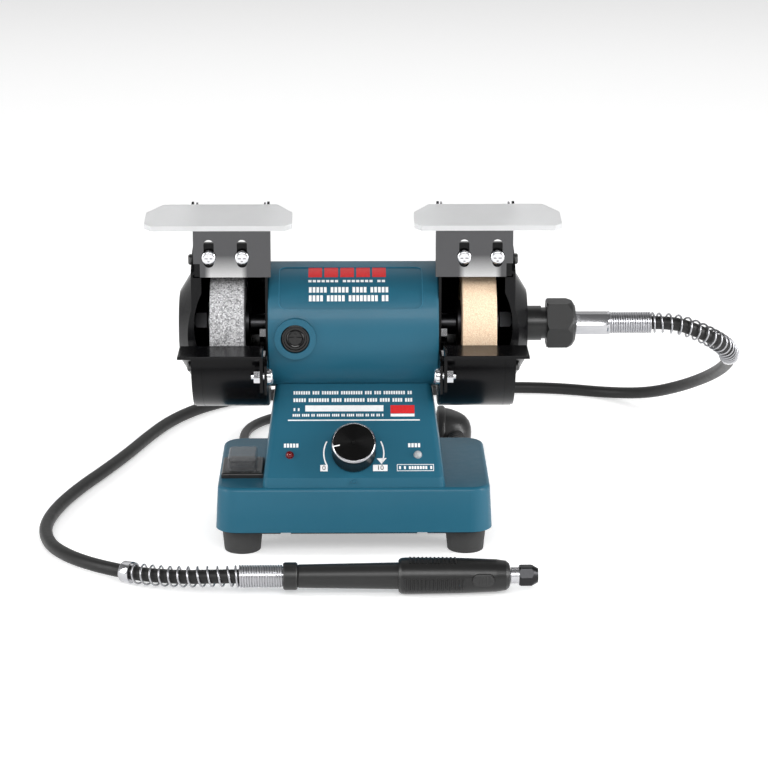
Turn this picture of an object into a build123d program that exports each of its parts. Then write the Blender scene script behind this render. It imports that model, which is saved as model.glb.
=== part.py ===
"""Mini bench grinder with a flexible shaft and handpiece.

Millimetres, +Z up.  The origin is the centre of the four foot bolt holes, on the surface
that the feet stand on.  +X runs along the spindle, -Y is the side the operator stands at.
"""
import os
from math import atan2, cos, degrees, pi, radians, sin, sqrt, tan

from build123d import *

# Spindle and wheels
AXIS_Y = 10.0
AXIS_Z = 126.0
WHEEL_R = 37.5
WHEEL_WIDTH = 20.0
WHEEL_X = 74.0
SPINDLE_R = 5.0
FLANGE_R = 14.0
FLANGE_THICK = 3.0
NUT_FLATS = 16.0

# Motor
MOTOR_R = 37.3
MOTOR_HALF = 50.0
MOTOR_WALL = 2.5
BELL_THICK = 5.0
BEARING_R = 13.0
BEARING_WIDTH = 8.0
STACK_FROM = -16.0
STACK_TO = 24.0
ARMATURE_R = 20.0
AIR_GAP = 0.6
BRUSH_X = -34.0
COMMUTATOR_R = 11.0

# Base and neck
BASE_X = 159.5
BASE_Y = 108.0
BASE_BOTTOM = 16.0
PLATE_BOTTOM = 14.9
PLATE_NOTCH_X = 40.0
BASE_TOP = 42.5
WALL = 2.5
FOOT_X = 66.0
FOOT_Y = 36.0
FOOT_R = 12.2
FOOT_HOLE_R = 3.0
PANEL_LOW = (-52.0, 48.6)
PANEL_HIGH = (-9.7, 94.0)
NECK_BACK_LOW = 38.0
NECK_BACK_HIGH = 30.0
NECK_HALF_LOW = 53.5
NECK_HALF_HIGH = 46.0

# Guards
SHEET = 1.5
GUARD_R = 49.0
GUARD_OUT = 93.5
SEAM_X = 88.2
LIP_IN = 88.8
LIP_BOW_R = 44.5
DISH_OUT = 103.0
OPEN_Y = AXIS_Y - 30.0
OPEN_Z = AXIS_Z - 8.0
TAB_TOP = AXIS_Z + 56.0
COVER_SCREWS = ((-15.0, 43.0), (-43.5, -15.0), (30.0, -34.0))

# Spark bracket and eye shield
BRACKET_Y = AXIS_Y - 33.2
BRACKET_LOW = AXIS_Z + 36.0
BRACKET_TOP = AXIS_Z + 74.0
BRACKET_IN = 48.0
BRACKET_OUT = 93.0
SLOT_X = (64.6, 83.9)
SLOT_Z = AXIS_Z + 50.0
SLOT_LENGTH = 16.4
SLOT_WIDTH = 5.9
SCREW_Z = AXIS_Z + 48.0
ROD_Y = AXIS_Y - 36.5
ROD_Z = AXIS_Z + 78.0
ROD_R = 1.5
SHIELD_THICK = 3.0
SHIELD_TILT = 8.0

# Tool rest and its clamp
REST_IN = 52.4
REST_OUT = 101.5
REST_BACK = AXIS_Y - 39.5
REST_FRONT = AXIS_Y - 65.0
REST_TOP = AXIS_Z - 3.5
REST_THICK = 1.8
CLAMP_Y = AXIS_Y - 54.5
CLAMP_Z = AXIS_Z - 18.0
CLAMP_R = 2.0
FIT = 0.05

# Controls
KNOB_UP = 16.0
KNOB_R = 13.15
KNOB_HIGH = 14.0
LIGHT_X = 37.5
LIGHT_UP = 14.9
SWITCH_X = -66.0
SWITCH_Y = -15.5
SWITCH_WIDE = 24.6
SWITCH_DEEP = 34.0

# Flexible shaft and handpiece
FERRULE_END = 177.0
HOSE_R = 4.0
SPRING_R = 6.4
HAND_Y = -115.5
HAND_Z = 10.4
HAND_START = -64.0
HAND_END = 88.0
BUTTON_TURN = 88.0

# Mains cord
CORD_R = 3.25
COIL_X = 0.0
COIL_Y = 190.0
COIL_MID_R = 33.5
COIL_LIFT = 0.7
PLUG_X = 55.0
PLUG_Y = 149.0
PLUG_R = 17.6


# ---------------------------------------------------------------- helpers


def box(x0, x1, y0, y1, z0, z1):
    """A block between two values on each axis."""
    return Pos((x0 + x1) / 2, (y0 + y1) / 2, (z0 + z1) / 2) * Box(abs(x1 - x0), abs(y1 - y0), abs(z1 - z0))


def rod_x(radius, x0, x1, y=AXIS_Y, z=AXIS_Z):
    """A round bar along X."""
    return Pos((x0 + x1) / 2, y, z) * Rot(0, 90, 0) * Cylinder(radius, abs(x1 - x0))


def rod_y(radius, y0, y1, x, z):
    """A round bar along Y."""
    return Pos(x, (y0 + y1) / 2, z) * Rot(90, 0, 0) * Cylinder(radius, abs(y1 - y0))


def rod_z(radius, z0, z1, x, y):
    """A round bar along Z."""
    return Pos(x, y, (z0 + z1) / 2) * Cylinder(radius, abs(z1 - z0))


def ring_x(outer, inner, x0, x1, y=AXIS_Y, z=AXIS_Z):
    """A round sleeve along X."""
    return rod_x(outer, x0, x1, y, z) - rod_x(inner, x0 - 1, x1 + 1, y, z)


def hex_x(flats, x0, x1, y=AXIS_Y, z=AXIS_Z):
    """A hexagonal bar along X, measured across its flats."""
    plane = Plane(origin=(min(x0, x1), y, z), x_dir=(0, 1, 0), z_dir=(1, 0, 0))
    return extrude(plane * RegularPolygon(flats / 2, 6, major_radius=False), abs(x1 - x0))


def profile_x(points, x0, x1):
    """A prism along X over a closed outline of (y, z) points."""
    plane = Plane(origin=(min(x0, x1), 0, 0), x_dir=(0, 1, 0), z_dir=(1, 0, 0))
    return extrude(plane * make_face(Polyline(*points, close=True)), abs(x1 - x0))


def turned_x(points, y=AXIS_Y, z=AXIS_Z):
    """A turned piece about an axis along X, from a closed outline of (x, radius) points."""
    plane = Plane(origin=(0, y, z), x_dir=(1, 0, 0), z_dir=(0, -1, 0))
    return revolve(plane * make_face(Polyline(*points, close=True)), Axis((0, y, z), (1, 0, 0)), 360)


def soften(shape, radius, keep):
    """Round the edges that keep picks, one by one where they don't all round together."""
    edges = [e for e in shape.edges() if keep(e)]
    try:
        return fillet(edges, radius)
    except Exception:
        return shape


def both_sides(shape):
    """A left and a right copy of a right-hand piece."""
    return mirror(shape, about=Plane.YZ), shape


def group(shapes):
    """Separate solids that share one node."""
    return Compound(children=[s for shape in shapes for s in shape.solids()])


NODES = {}


def keep(name, shape):
    """Note a finished piece under its node name."""
    NODES[name] = shape


# ---------------------------------------------------------------- base and neck


def panel_point(x, up, out=0.0):
    """A point on the sloping panel: up is along the slope from its lower edge, out is along its normal."""
    angle = panel_angle()
    y = PANEL_LOW[0] + up * cos(angle) - out * sin(angle)
    return (x, y, PANEL_LOW[1] + up * sin(angle) + out * cos(angle))


def panel_angle():
    """Slope of the panel above the horizontal, in radians."""
    return atan2(PANEL_HIGH[1] - PANEL_LOW[1], PANEL_HIGH[0] - PANEL_LOW[0])


def panel_plane(x, up, out=0.0):
    """A plane on the sloping panel, with its z axis along the outward normal."""
    angle = panel_angle()
    return Plane(origin=panel_point(x, up, out), x_dir=(1, 0, 0), z_dir=(0, -sin(angle), cos(angle)))


def foot_places():
    """Plan positions of the four feet."""
    return [(sx * FOOT_X, sy * FOOT_Y) for sx in (-1, 1) for sy in (-1, 1)]


def base_housing():
    """Moulded tray, open below, with a seat for the neck and an opening for the switch."""
    high = BASE_TOP - BASE_BOTTOM
    outline = Pos(0, 0, BASE_BOTTOM) * RectangleRounded(BASE_X + 3, BASE_Y + 2, 13)
    shell = extrude(outline, high, taper=3)
    top = shell.faces().sort_by(Axis.Z)[-1]
    shell = fillet(top.edges(), 2.5)
    inner = Pos(0, 0, BASE_BOTTOM - 1) * RectangleRounded(BASE_X + 3 - 2 * WALL, BASE_Y + 2 - 2 * WALL, 10.5)
    shell -= extrude(inner, high + 1 - WALL, taper=3)
    shell -= box(-44, 44, -44, 30, BASE_TOP - WALL - 1, BASE_TOP + 1)
    shell -= box(SWITCH_X - 11, SWITCH_X + 11, SWITCH_Y - 14, SWITCH_Y + 14, BASE_TOP - 5, BASE_TOP + 1)
    for x, y in foot_places():
        shell += rod_z(8, BASE_BOTTOM + 1.5, BASE_TOP - 1, x, y) - rod_z(4, 0, BASE_TOP - 5, x, y)
    shell -= box(SWITCH_X - 11, SWITCH_X + 11, SWITCH_Y - 14, SWITCH_Y + 14, BASE_TOP - 24, BASE_TOP - 1)
    return shell - rod_y(5, BASE_Y / 2 - 8, BASE_Y / 2 + 3, -40, 28)


def bottom_plate():
    """Pressed steel closing plate under the tray."""
    rim = Pos(0, 0, PLATE_BOTTOM) * RectangleRounded(BASE_X - 6, BASE_Y - 1, 9.5)
    plate = extrude(rim, BASE_BOTTOM - PLATE_BOTTOM)
    for x in (-PLATE_NOTCH_X, PLATE_NOTCH_X):
        plate -= box(x - 3, x + 3, -BASE_Y, 5 - BASE_Y / 2, 0, BASE_BOTTOM)
    for x, y in foot_places():
        plate -= rod_z(4.5, 0, BASE_TOP, x, y)
    return plate


def rubber_foot(x, y):
    """Tapered rubber foot with a through hole for a bench bolt and a collar that holds it in the plate."""
    foot = Pos(x, y, PLATE_BOTTOM / 2) * Cone(FOOT_R - 1.5, FOOT_R, PLATE_BOTTOM)
    foot = soften(foot, 0.8, lambda e: e.geom_type == GeomType.CIRCLE and e.center().Z < 1)
    foot += rod_z(3.9, PLATE_BOTTOM - 1, BASE_BOTTOM + 8, x, y)
    return foot - rod_z(FOOT_HOLE_R, -1, BASE_BOTTOM + 10, x, y)


def case_screws():
    """Screws that close the tray from below, and the small one in front of the panel."""
    screws = []
    for x, y in ((-40, -34), (40, -34), (-40, 34), (40, 34)):
        head = rod_z(3, PLATE_BOTTOM - 1.8, PLATE_BOTTOM, x, y) - box(x - 2, x + 2, y - 0.4, y + 0.4, 0, 15)
        screws.append(head)
    y = PANEL_LOW[0]
    screws.append(rod_y(1.6, y - 0.8, y, 0, 45.6) - box(-1.2, 1.2, y - 2, y - 0.4, 45.3, 45.9))
    return group(screws)


def neck_outline(inset):
    """Side outline of the neck, moved in by a wall thickness."""
    top = PANEL_HIGH[1] - inset
    angle = panel_angle()
    low = PANEL_LOW[0] + inset
    slant = inset / sin(angle)
    shift = top - PANEL_LOW[1]
    return [
        (low, BASE_TOP - (5 if inset else 0)),
        (low, PANEL_LOW[1] + (low + slant - PANEL_LOW[0] - 2 * slant) * tan(angle)),
        (PANEL_LOW[0] + shift / tan(angle) + slant, top),
        (NECK_BACK_HIGH - inset, top),
        (NECK_BACK_LOW - inset, BASE_TOP - (5 if inset else 0)),
    ]


def neck_sides(shape, inset):
    """Trim a neck prism to its sloping sides."""
    rise = PANEL_HIGH[1] - BASE_TOP
    lean = degrees(atan2(NECK_HALF_LOW - NECK_HALF_HIGH, rise))
    for side in (-1, 1):
        cutter = Pos(side * (NECK_HALF_LOW - inset), 0, BASE_TOP) * Rot(0, -side * lean, 0)
        shape -= cutter * Pos(side * 30, 0, 30) * Box(60, 300, 160)
    return shape


def neck_housing():
    """Hollow wedge that carries the motor and holds the sloping control panel."""
    neck = neck_sides(profile_x(neck_outline(0), -60, 60), 0)
    high = lambda e: e.center().Z > BASE_TOP + 1 and e.length > 5
    front = lambda e: high(e) and e.center().Y < 0 and abs(e.center().X) > 30
    neck = soften(neck, 4, front)
    neck -= neck_sides(profile_x(neck_outline(WALL), -60, 60), WALL) - rod_x(MOTOR_R + WALL, -80, 80)
    neck -= rod_x(MOTOR_R, -80, 80)
    neck -= panel_plane(0, KNOB_UP, -5) * Cylinder(3.6, 20)
    for side in (-1, 1):
        neck -= panel_plane(side * LIGHT_X, LIGHT_UP, -5) * Cylinder(2.5, 20)
    return neck


# ---------------------------------------------------------------- motor


def motor_housing():
    """Tubular motor casing with a flat label recess, brush bosses and end vents."""
    shell = ring_x(MOTOR_R, MOTOR_R - MOTOR_WALL, -MOTOR_HALF, MOTOR_HALF)
    for side in (-1, 1):
        boss = rod_y(12.2, AXIS_Y, AXIS_Y + side * (MOTOR_R + 1.2), BRUSH_X, AXIS_Z)
        shell += boss - rod_x(MOTOR_R - MOTOR_WALL, -60, 60)
        shell -= rod_y(8.6, AXIS_Y + side * (MOTOR_R - 2.0), AXIS_Y + side * 60, BRUSH_X, AXIS_Z)
        shell -= rod_y(6.0, AXIS_Y + side * 20, AXIS_Y + side * 60, BRUSH_X, AXIS_Z)
    tilt = Pos(-1.5, AXIS_Y, AXIS_Z) * Rot(38, 0, 0)
    label = tilt * extrude(RectangleRounded(84, 31.5, 4), 60)
    band = ring_x(MOTOR_R + 2, MOTOR_R - 0.5, -60, 60)
    shell -= label & band
    for k in range(5):
        angle = 60 + 15 * k
        vent = Rot(0, 0, 0) * Pos(32, AXIS_Y, AXIS_Z) * Rot(-angle, 0, 0)
        shell -= vent * Pos(0, 0, MOTOR_R) * Box(14, 3, 12)
    return soften(shell, 0.8, lambda e: e.geom_type == GeomType.CIRCLE and abs(e.radius - MOTOR_R) < 0.01
                  and abs(abs(e.center().X) - MOTOR_HALF) < 0.01)


def end_bell():
    """Cast end shield with the bearing seat, for the right end."""
    inner = MOTOR_R - MOTOR_WALL
    bell = rod_x(inner, MOTOR_HALF - BELL_THICK, MOTOR_HALF)
    bell += rod_x(BEARING_R + 3, MOTOR_HALF - BEARING_WIDTH - 1.5, MOTOR_HALF)
    bell -= rod_x(BEARING_R, MOTOR_HALF - BEARING_WIDTH - 2, MOTOR_HALF - 1.5)
    bell -= rod_x(SPINDLE_R + 2, 0, MOTOR_HALF + 1)
    for k in range(3):
        angle = radians(120 * k + 30)
        y = AXIS_Y + 25 * cos(angle)
        bell -= rod_x(5, 30, MOTOR_HALF + 1, y, AXIS_Z + 25 * sin(angle))
    return bell


def bearing():
    """Sealed ball bearing at the right end."""
    start = MOTOR_HALF - BEARING_WIDTH - 1.5
    race = ring_x(BEARING_R, SPINDLE_R + FIT, start, start + BEARING_WIDTH)
    for x in (start, start + BEARING_WIDTH):
        race -= ring_x(BEARING_R - 2.5, SPINDLE_R + 2.3, x - 0.5, x + 0.5)
    return race


def stator_core():
    """Laminated field core with two poles, pressed into the casing."""
    core = ring_x(MOTOR_R - MOTOR_WALL, 27, STACK_FROM, STACK_TO)
    pole = box(STACK_FROM, STACK_TO, AXIS_Y - 13, AXIS_Y + 13, AXIS_Z - 30, AXIS_Z + 30)
    core += (pole & rod_x(28, STACK_FROM, STACK_TO))
    return core - rod_x(ARMATURE_R + AIR_GAP, -60, 60)


def field_winding():
    """Copper coil round the upper pole."""
    outer = box(STACK_FROM - 6, STACK_TO + 6, AXIS_Y - 18, AXIS_Y + 18, AXIS_Z + 21.5, AXIS_Z + 25.5)
    inner = box(STACK_FROM, STACK_TO, AXIS_Y - 13, AXIS_Y + 13, AXIS_Z + 15, AXIS_Z + 30)
    coil = (outer & rod_x(26.8, -60, 60)) - inner
    return coil - rod_x(ARMATURE_R + 2, -60, 60)


def brush_pieces():
    """Guide tubes, carbon brushes and slotted caps, front and rear."""
    tubes, brushes, caps = [], [], []
    for side in (-1, 1):
        near = AXIS_Y + side * (COMMUTATOR_R + 2)
        far = AXIS_Y + side * (MOTOR_R - 2.0)
        tube = rod_y(6.0, near, far, BRUSH_X, AXIS_Z)
        hole = box(BRUSH_X - 2.5, BRUSH_X + 2.5, near - 20, near + 20, AXIS_Z - 4, AXIS_Z + 4)
        tubes.append(tube - hole & box(-80, 80, min(near, far), max(near, far), 0, 300))
        start = AXIS_Y + side * (COMMUTATOR_R + 0.1)
        brush = box(BRUSH_X - 2.5, BRUSH_X + 2.5, start, start + side * 14, AXIS_Z - 4, AXIS_Z + 4)
        brushes.append(brush - rod_x(COMMUTATOR_R + 0.1, -60, 60))
        face = AXIS_Y + side * (MOTOR_R + 0.6)
        cap = rod_y(8.6, far, face, BRUSH_X, AXIS_Z)
        groove = rod_y(6.6, face - side * 0.8, face, BRUSH_X, AXIS_Z)
        cap -= groove - rod_y(5.4, face - side * 0.8, face, BRUSH_X, AXIS_Z)
        slot = box(BRUSH_X - 5, BRUSH_X + 5, face - side * 1.4, face + side, AXIS_Z - 0.8, AXIS_Z + 0.8)
        caps.append(cap - slot)
    return group(tubes), group(brushes), group(caps)


# ---------------------------------------------------------------- spindle


def spindle_shaft():
    """Motor shaft: shoulders for the wheels, a turned end, and a square socket for the flexible core."""
    end = WHEEL_X + WHEEL_WIDTH / 2 + FLANGE_THICK + 10
    shoulder = WHEEL_X - WHEEL_WIDTH / 2 - FLANGE_THICK
    core = rod_x(SPINDLE_R, -end, end)
    core += ring_x(SPINDLE_R + 1.2, SPINDLE_R, -40, 40)
    core += ring_x(SPINDLE_R + 1.5, SPINDLE_R, MOTOR_HALF + 2.5, shoulder)
    core += ring_x(SPINDLE_R + 1.5, SPINDLE_R, -shoulder, -MOTOR_HALF - 2.5)
    for side in (-1, 1):
        core = soften(core, 0.6, lambda e: abs(e.center().X - side * end) < 0.01)
    core -= box(end - 8, end + 1, AXIS_Y - 1.9, AXIS_Y + 1.9, AXIS_Z - 1.9, AXIS_Z + 1.9)
    core += rod_x(1.8, end - 8, FERRULE_END - 1)
    return core


def armature():
    """Laminated rotor with its slots and winding heads."""
    rotor = ring_x(ARMATURE_R, SPINDLE_R + 1.2, STACK_FROM, STACK_TO)
    for k in range(12):
        slot = Pos(0, AXIS_Y, AXIS_Z) * Rot(30 * k, 0, 0) * Pos(0, 0, ARMATURE_R - 1)
        rotor -= slot * Box(100, 2.2, 4)
    rotor += ring_x(16, SPINDLE_R + 1.2, STACK_TO, STACK_TO + 5)
    rotor += ring_x(16, SPINDLE_R + 1.2, STACK_FROM - 5, STACK_FROM)
    return rotor


def commutator():
    """Copper segments on a hub."""
    drum = ring_x(COMMUTATOR_R, SPINDLE_R + 1.2, BRUSH_X - 6, BRUSH_X + 8)
    for k in range(24):
        cut = Pos(BRUSH_X, AXIS_Y, AXIS_Z) * Rot(15 * k, 0, 0) * Pos(0, 0, COMMUTATOR_R)
        drum -= cut * Box(13, 0.5, 1.2)
    return drum


def cooling_fan():
    """Radial fan behind the right end shield."""
    fan = ring_x(26, SPINDLE_R + 1.2, 34.5, 36.0) + ring_x(9, SPINDLE_R + 1.2, 31, 34.5)
    for k in range(12):
        blade = Pos(0, AXIS_Y, AXIS_Z) * Rot(30 * k, 0, 0)
        fan += blade * box(31, 34.5, -0.8, 0.8, 8.5, 26)
    return fan & rod_x(26, 0, 60)


def wheel():
    """Abrasive wheel on the right."""
    half = WHEEL_WIDTH / 2
    disc = rod_x(WHEEL_R, WHEEL_X - half, WHEEL_X + half)
    disc = chamfer([e for e in disc.edges() if e.geom_type == GeomType.CIRCLE], 0.5)
    return disc - rod_x(SPINDLE_R, 0, 200)


def wheel_flanges():
    """Turned clamping flanges each side of both wheels."""
    half = WHEEL_WIDTH / 2
    near, far = WHEEL_X - half, WHEEL_X + half
    inner = turned_x([(near, SPINDLE_R), (near, FLANGE_R), (near - 2, FLANGE_R), (near - FLANGE_THICK, FLANGE_R - 3),
                      (near - FLANGE_THICK, SPINDLE_R)])
    outer = turned_x([(far, SPINDLE_R), (far, FLANGE_R), (far + 2, FLANGE_R), (far + FLANGE_THICK, FLANGE_R - 3),
                      (far + FLANGE_THICK, SPINDLE_R)])
    pair = group([inner, outer])
    return group(both_sides(pair))


def spindle_nuts():
    """Hexagon nuts that hold the wheels."""
    start = WHEEL_X + WHEEL_WIDTH / 2 + FLANGE_THICK
    nut = hex_x(NUT_FLATS, start, start + 7) & turned_x(
        [(start, 0), (start, 9.2), (start + 6.2, 9.2), (start + 7, 8.2), (start + 7, 0)])
    return group(both_sides(nut - rod_x(SPINDLE_R, 0, 200)))


# ---------------------------------------------------------------- guards


def front_opening(x0, x1):
    """The space in front of the wheel where work meets it."""
    return box(x0, x1, AXIS_Y - 70, OPEN_Y, OPEN_Z, AXIS_Z + 60)


def guard():
    """Right-hand wheel guard: inner plate, wrapped drum, screw lugs, upright tab and rest lug."""
    plate = rod_x(GUARD_R, MOTOR_HALF, MOTOR_HALF + SHEET)
    drum = ring_x(GUARD_R, GUARD_R - SHEET, MOTOR_HALF, GUARD_OUT)
    shell = soften(plate + drum, 1.4, lambda e: e.geom_type == GeomType.CIRCLE and abs(e.radius - GUARD_R) < 0.01
                   and abs(e.center().X - MOTOR_HALF) < 0.01)
    shell -= front_opening(MOTOR_HALF - 1, GUARD_OUT + 1)
    shell -= ring_x(GUARD_R + 1, GUARD_R - 0.35, SEAM_X, SEAM_X + 0.5)
    shell += box(MOTOR_HALF, MOTOR_HALF + SHEET, CLAMP_Y - 8, AXIS_Y - 25, AXIS_Z - 27, AXIS_Z - 10)
    shell += box(MOTOR_HALF, GUARD_OUT - 1, OPEN_Y - SHEET, OPEN_Y, AXIS_Z + 36, TAB_TOP)
    for dy, dz in COVER_SCREWS:
        reach = 45.2 / sqrt(dy * dy + dz * dz)
        lug = rod_x(3.4, GUARD_OUT - 6, GUARD_OUT, AXIS_Y + dy * reach, AXIS_Z + dz * reach)
        shell += lug & rod_x(GUARD_R, 0, 200)
    shell -= rod_x(FLANGE_R + 2, 0, MOTOR_HALF + 3)
    shell -= clamp_slot()
    for side in (-1, 1):
        x = SLOT_X[(side + 1) // 2]
        shell -= rod_y(2.0, OPEN_Y - 5, OPEN_Y + 5, x, SCREW_Z)
    return shell


def clamp_slot():
    """Slot in the rest lug along which the clamp bolt is set."""
    slot = box(40, 60, CLAMP_Y - 4, CLAMP_Y + 1, CLAMP_Z - CLAMP_R - 0.1, CLAMP_Z + CLAMP_R + 0.1)
    for y in (CLAMP_Y - 4, CLAMP_Y + 1):
        slot += rod_x(CLAMP_R + 0.1, 40, 60, y, CLAMP_Z)
    return slot


def guard_cover(centre_hole):
    """Dished outer cover, turned from sheet and cut away over the front opening."""
    skin = 1.3
    outer = turned_x([(GUARD_OUT, 33), (GUARD_OUT, 48.5), (GUARD_OUT + skin, 48.5), (GUARD_OUT + skin, 34),
                      (DISH_OUT, 20.5), (DISH_OUT, 0), (DISH_OUT - skin, 0), (DISH_OUT - skin, 19.9)])
    outer -= front_opening(GUARD_OUT - 1, DISH_OUT + 1)
    outer += cover_lip()
    if centre_hole:
        outer -= rod_x(centre_hole, 80, 120)
    return outer


def cover_lip():
    """Lip turned in along the cover's cut front edge, its inner edge bowed out round the wheel."""
    lip = box(LIP_IN, DISH_OUT - 3, OPEN_Y, OPEN_Y + 1.2, OPEN_Z, AXIS_Z + 35)
    lip -= rod_y(LIP_BOW_R, OPEN_Y - 5, OPEN_Y + 5, 49, AXIS_Z + 5.5)
    inside = rod_x(GUARD_R - SHEET - 0.15, 0, GUARD_OUT)
    dish = turned_x([(GUARD_OUT, 0), (GUARD_OUT, 48), (GUARD_OUT + 1.3, 48), (GUARD_OUT + 1.3, 34), (DISH_OUT, 20.5),
                     (DISH_OUT, 0)])
    return lip & (inside + dish)


def guard_bolts():
    """Hexagon bolts that hold each guard's inner plate to the motor end."""
    bolts = []
    for dy, dz in ((-27, 0), (13.5, 23.4), (13.5, -23.4)):
        start = MOTOR_HALF + SHEET
        head = hex_x(8, start, start + 3.5, AXIS_Y + dy, AXIS_Z + dz)
        bolts.append(head)
    return group([s for b in bolts for s in both_sides(b)])


def pan_head(radius, high):
    """A pan head with a cross recess, standing on the XY plane."""
    head = Pos(0, 0, high / 2) * Cylinder(radius, high)
    head = fillet(head.edges().filter_by(GeomType.CIRCLE).sort_by(Axis.Z)[-1], high * 0.6)
    for turn in (0, 90):
        head -= Rot(0, 0, turn) * Pos(0, 0, high) * Box(radius * 1.1, radius * 0.28, high)
    return head


def cover_screws():
    """Cross-head screws that hold the outer covers."""
    screws = []
    for dy, dz in COVER_SCREWS:
        reach = 45.2 / sqrt(dy * dy + dz * dz)
        place = Pos(GUARD_OUT + 1.3, AXIS_Y + dy * reach, AXIS_Z + dz * reach)
        screws.append(place * Rot(0, 90, 0) * pan_head(3.2, 2.2))
    return group([s for b in screws for s in both_sides(b)])


# ---------------------------------------------------------------- spark bracket and eye shield


def spark_bracket():
    """Right-hand bent steel bracket with two adjusting slots and hinge ears."""
    plate = box(BRACKET_IN, BRACKET_OUT, BRACKET_Y, BRACKET_Y + SHEET, BRACKET_LOW, BRACKET_TOP)
    plate -= box(BRACKET_OUT - 3.8, 200, -100, 100, 0, BRACKET_LOW + 8)
    plate += box(BRACKET_IN, BRACKET_IN + SHEET, BRACKET_Y, AXIS_Y - 24, BRACKET_LOW, BRACKET_TOP - 3)
    for x in SLOT_X:
        reach = (SLOT_LENGTH - SLOT_WIDTH) / 2
        plate -= box(x - SLOT_WIDTH / 2, x + SLOT_WIDTH / 2, -50, 0, SLOT_Z - reach, SLOT_Z + reach)
        for z in (SLOT_Z - reach, SLOT_Z + reach):
            plate -= rod_y(SLOT_WIDTH / 2, -50, 0, x, z)
    for x0 in (BRACKET_IN, BRACKET_OUT - SHEET):
        ear = box(x0, x0 + SHEET, ROD_Y, BRACKET_Y + SHEET, BRACKET_TOP - 6, ROD_Z)
        plate += ear + rod_x(3.6, x0, x0 + SHEET, ROD_Y, ROD_Z)
    return plate - rod_x(ROD_R + FIT, 40, 100, ROD_Y, ROD_Z)


def bracket_screws():
    """Pan-head screws and their shanks through the bracket slots into the guard tab."""
    screws = []
    for x in SLOT_X:
        face = BRACKET_Y - 0.1
        screw = Pos(x, face, SCREW_Z) * Rot(90, 0, 0) * pan_head(4.25, 2.8)
        screws.append(screw + rod_y(2.0, face, OPEN_Y + 3, x, SCREW_Z))
    return group([s for b in screws for s in both_sides(b)])


def shield_hinge():
    """Right-hand hinge rod with the bent steel strip that grips the shield's back edge."""
    hinge = rod_x(ROD_R, BRACKET_IN - 4, BRACKET_OUT + 2, ROD_Y, ROD_Z)
    for x0 in (BRACKET_IN + 2.2, BRACKET_OUT - SHEET - 2.4):
        hinge += rod_x(3.4, x0, x0 + 1.2, ROD_Y, ROD_Z)
    strip = box(BRACKET_IN + 2.2, BRACKET_OUT - SHEET - 1.2, ROD_Y - 13, ROD_Y, ROD_Z - 0.9, ROD_Z + 0.3)
    return hinge + shield_turn(strip)


def shield_turn(shape):
    """Tip a level piece down towards the front about the hinge rod."""
    return Pos(0, ROD_Y, ROD_Z) * Rot(SHIELD_TILT, 0, 0) * Pos(0, -ROD_Y, -ROD_Z) * shape


def eye_shield():
    """Right-hand clear polycarbonate shield with cut back corners."""
    inner, outer = 34.5, 118.0
    back, front = ROD_Y - 3.9, ROD_Y - 41.0
    low = ROD_Z + 0.4
    outline = [(inner, front + 4), (inner + 4, front), (outer - 4, front), (outer, front + 4), (outer, back - 14),
               (outer - 9, back), (inner + 9, back), (inner, back - 14)]
    plate = extrude(Pos(0, 0, low) * make_face(Polyline(*outline, close=True)), SHIELD_THICK)
    return shield_turn(plate)


# ---------------------------------------------------------------- tool rest


def tool_rest():
    """Right-hand tool rest: a flat table with a clamping arm turned down at its inner end."""
    rest = box(REST_IN, REST_OUT, REST_FRONT, REST_BACK, REST_TOP - REST_THICK, REST_TOP)
    arm = box(REST_IN, REST_IN + REST_THICK, CLAMP_Y - 5.5, CLAMP_Y + 4.7, CLAMP_Z - 8.5, REST_TOP)
    rest += arm
    rest = soften(rest, 0.6, lambda e: e.center().Z > REST_TOP - 0.01 and e.length > 20)
    return rest - rod_x(CLAMP_R + FIT, 40, 60, CLAMP_Y, CLAMP_Z)


def rest_clamp():
    """Right-hand clamp bolt with a domed head on the motor side and a nut outside."""
    head = rod_x(4.8, MOTOR_HALF - 3.5, MOTOR_HALF - 0.1, CLAMP_Y, CLAMP_Z)
    head = soften(head, 2.2, lambda e: e.geom_type == GeomType.CIRCLE and e.center().X < MOTOR_HALF - 3)
    outer = REST_IN + REST_THICK + 0.1
    bolt = head + rod_x(CLAMP_R, MOTOR_HALF - 1, outer + 5, CLAMP_Y, CLAMP_Z)
    return bolt + hex_x(7, outer, outer + 3.5, CLAMP_Y, CLAMP_Z)


# ---------------------------------------------------------------- controls


def speed_knob():
    """Turned knob with a chamfered rim, on its shaft."""
    knob = panel_plane(0, KNOB_UP, 0.6 + KNOB_HIGH / 2) * Cylinder(KNOB_R, KNOB_HIGH)
    angle = panel_angle()
    far = Vector(0, -sin(angle), cos(angle))
    rim = max((e for e in knob.edges() if e.geom_type == GeomType.CIRCLE), key=lambda e: e.center().dot(far))
    knob = chamfer(rim, 1.0)
    knob -= panel_plane(0, KNOB_UP, 2.5) * Cylinder(KNOB_R - 3, 4)
    return knob + panel_plane(0, KNOB_UP, -2.0) * Cylinder(3.0, 16)


def control_board():
    """Speed control board behind the panel, with the potentiometer can it carries."""
    board = panel_plane(0, 24, -15) * Box(84, 44, 1.6)
    can = panel_plane(0, KNOB_UP, -10.3) * Cylinder(8, 6)
    sink = panel_plane(-26, 30, -10.6) * Box(20, 14, 7.2)
    capacitor = panel_plane(26, 30, -9.2) * Box(14, 9, 10)
    return board + can + sink + capacitor - panel_plane(0, KNOB_UP, -8) * Cylinder(3.0 + FIT, 6)


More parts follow.
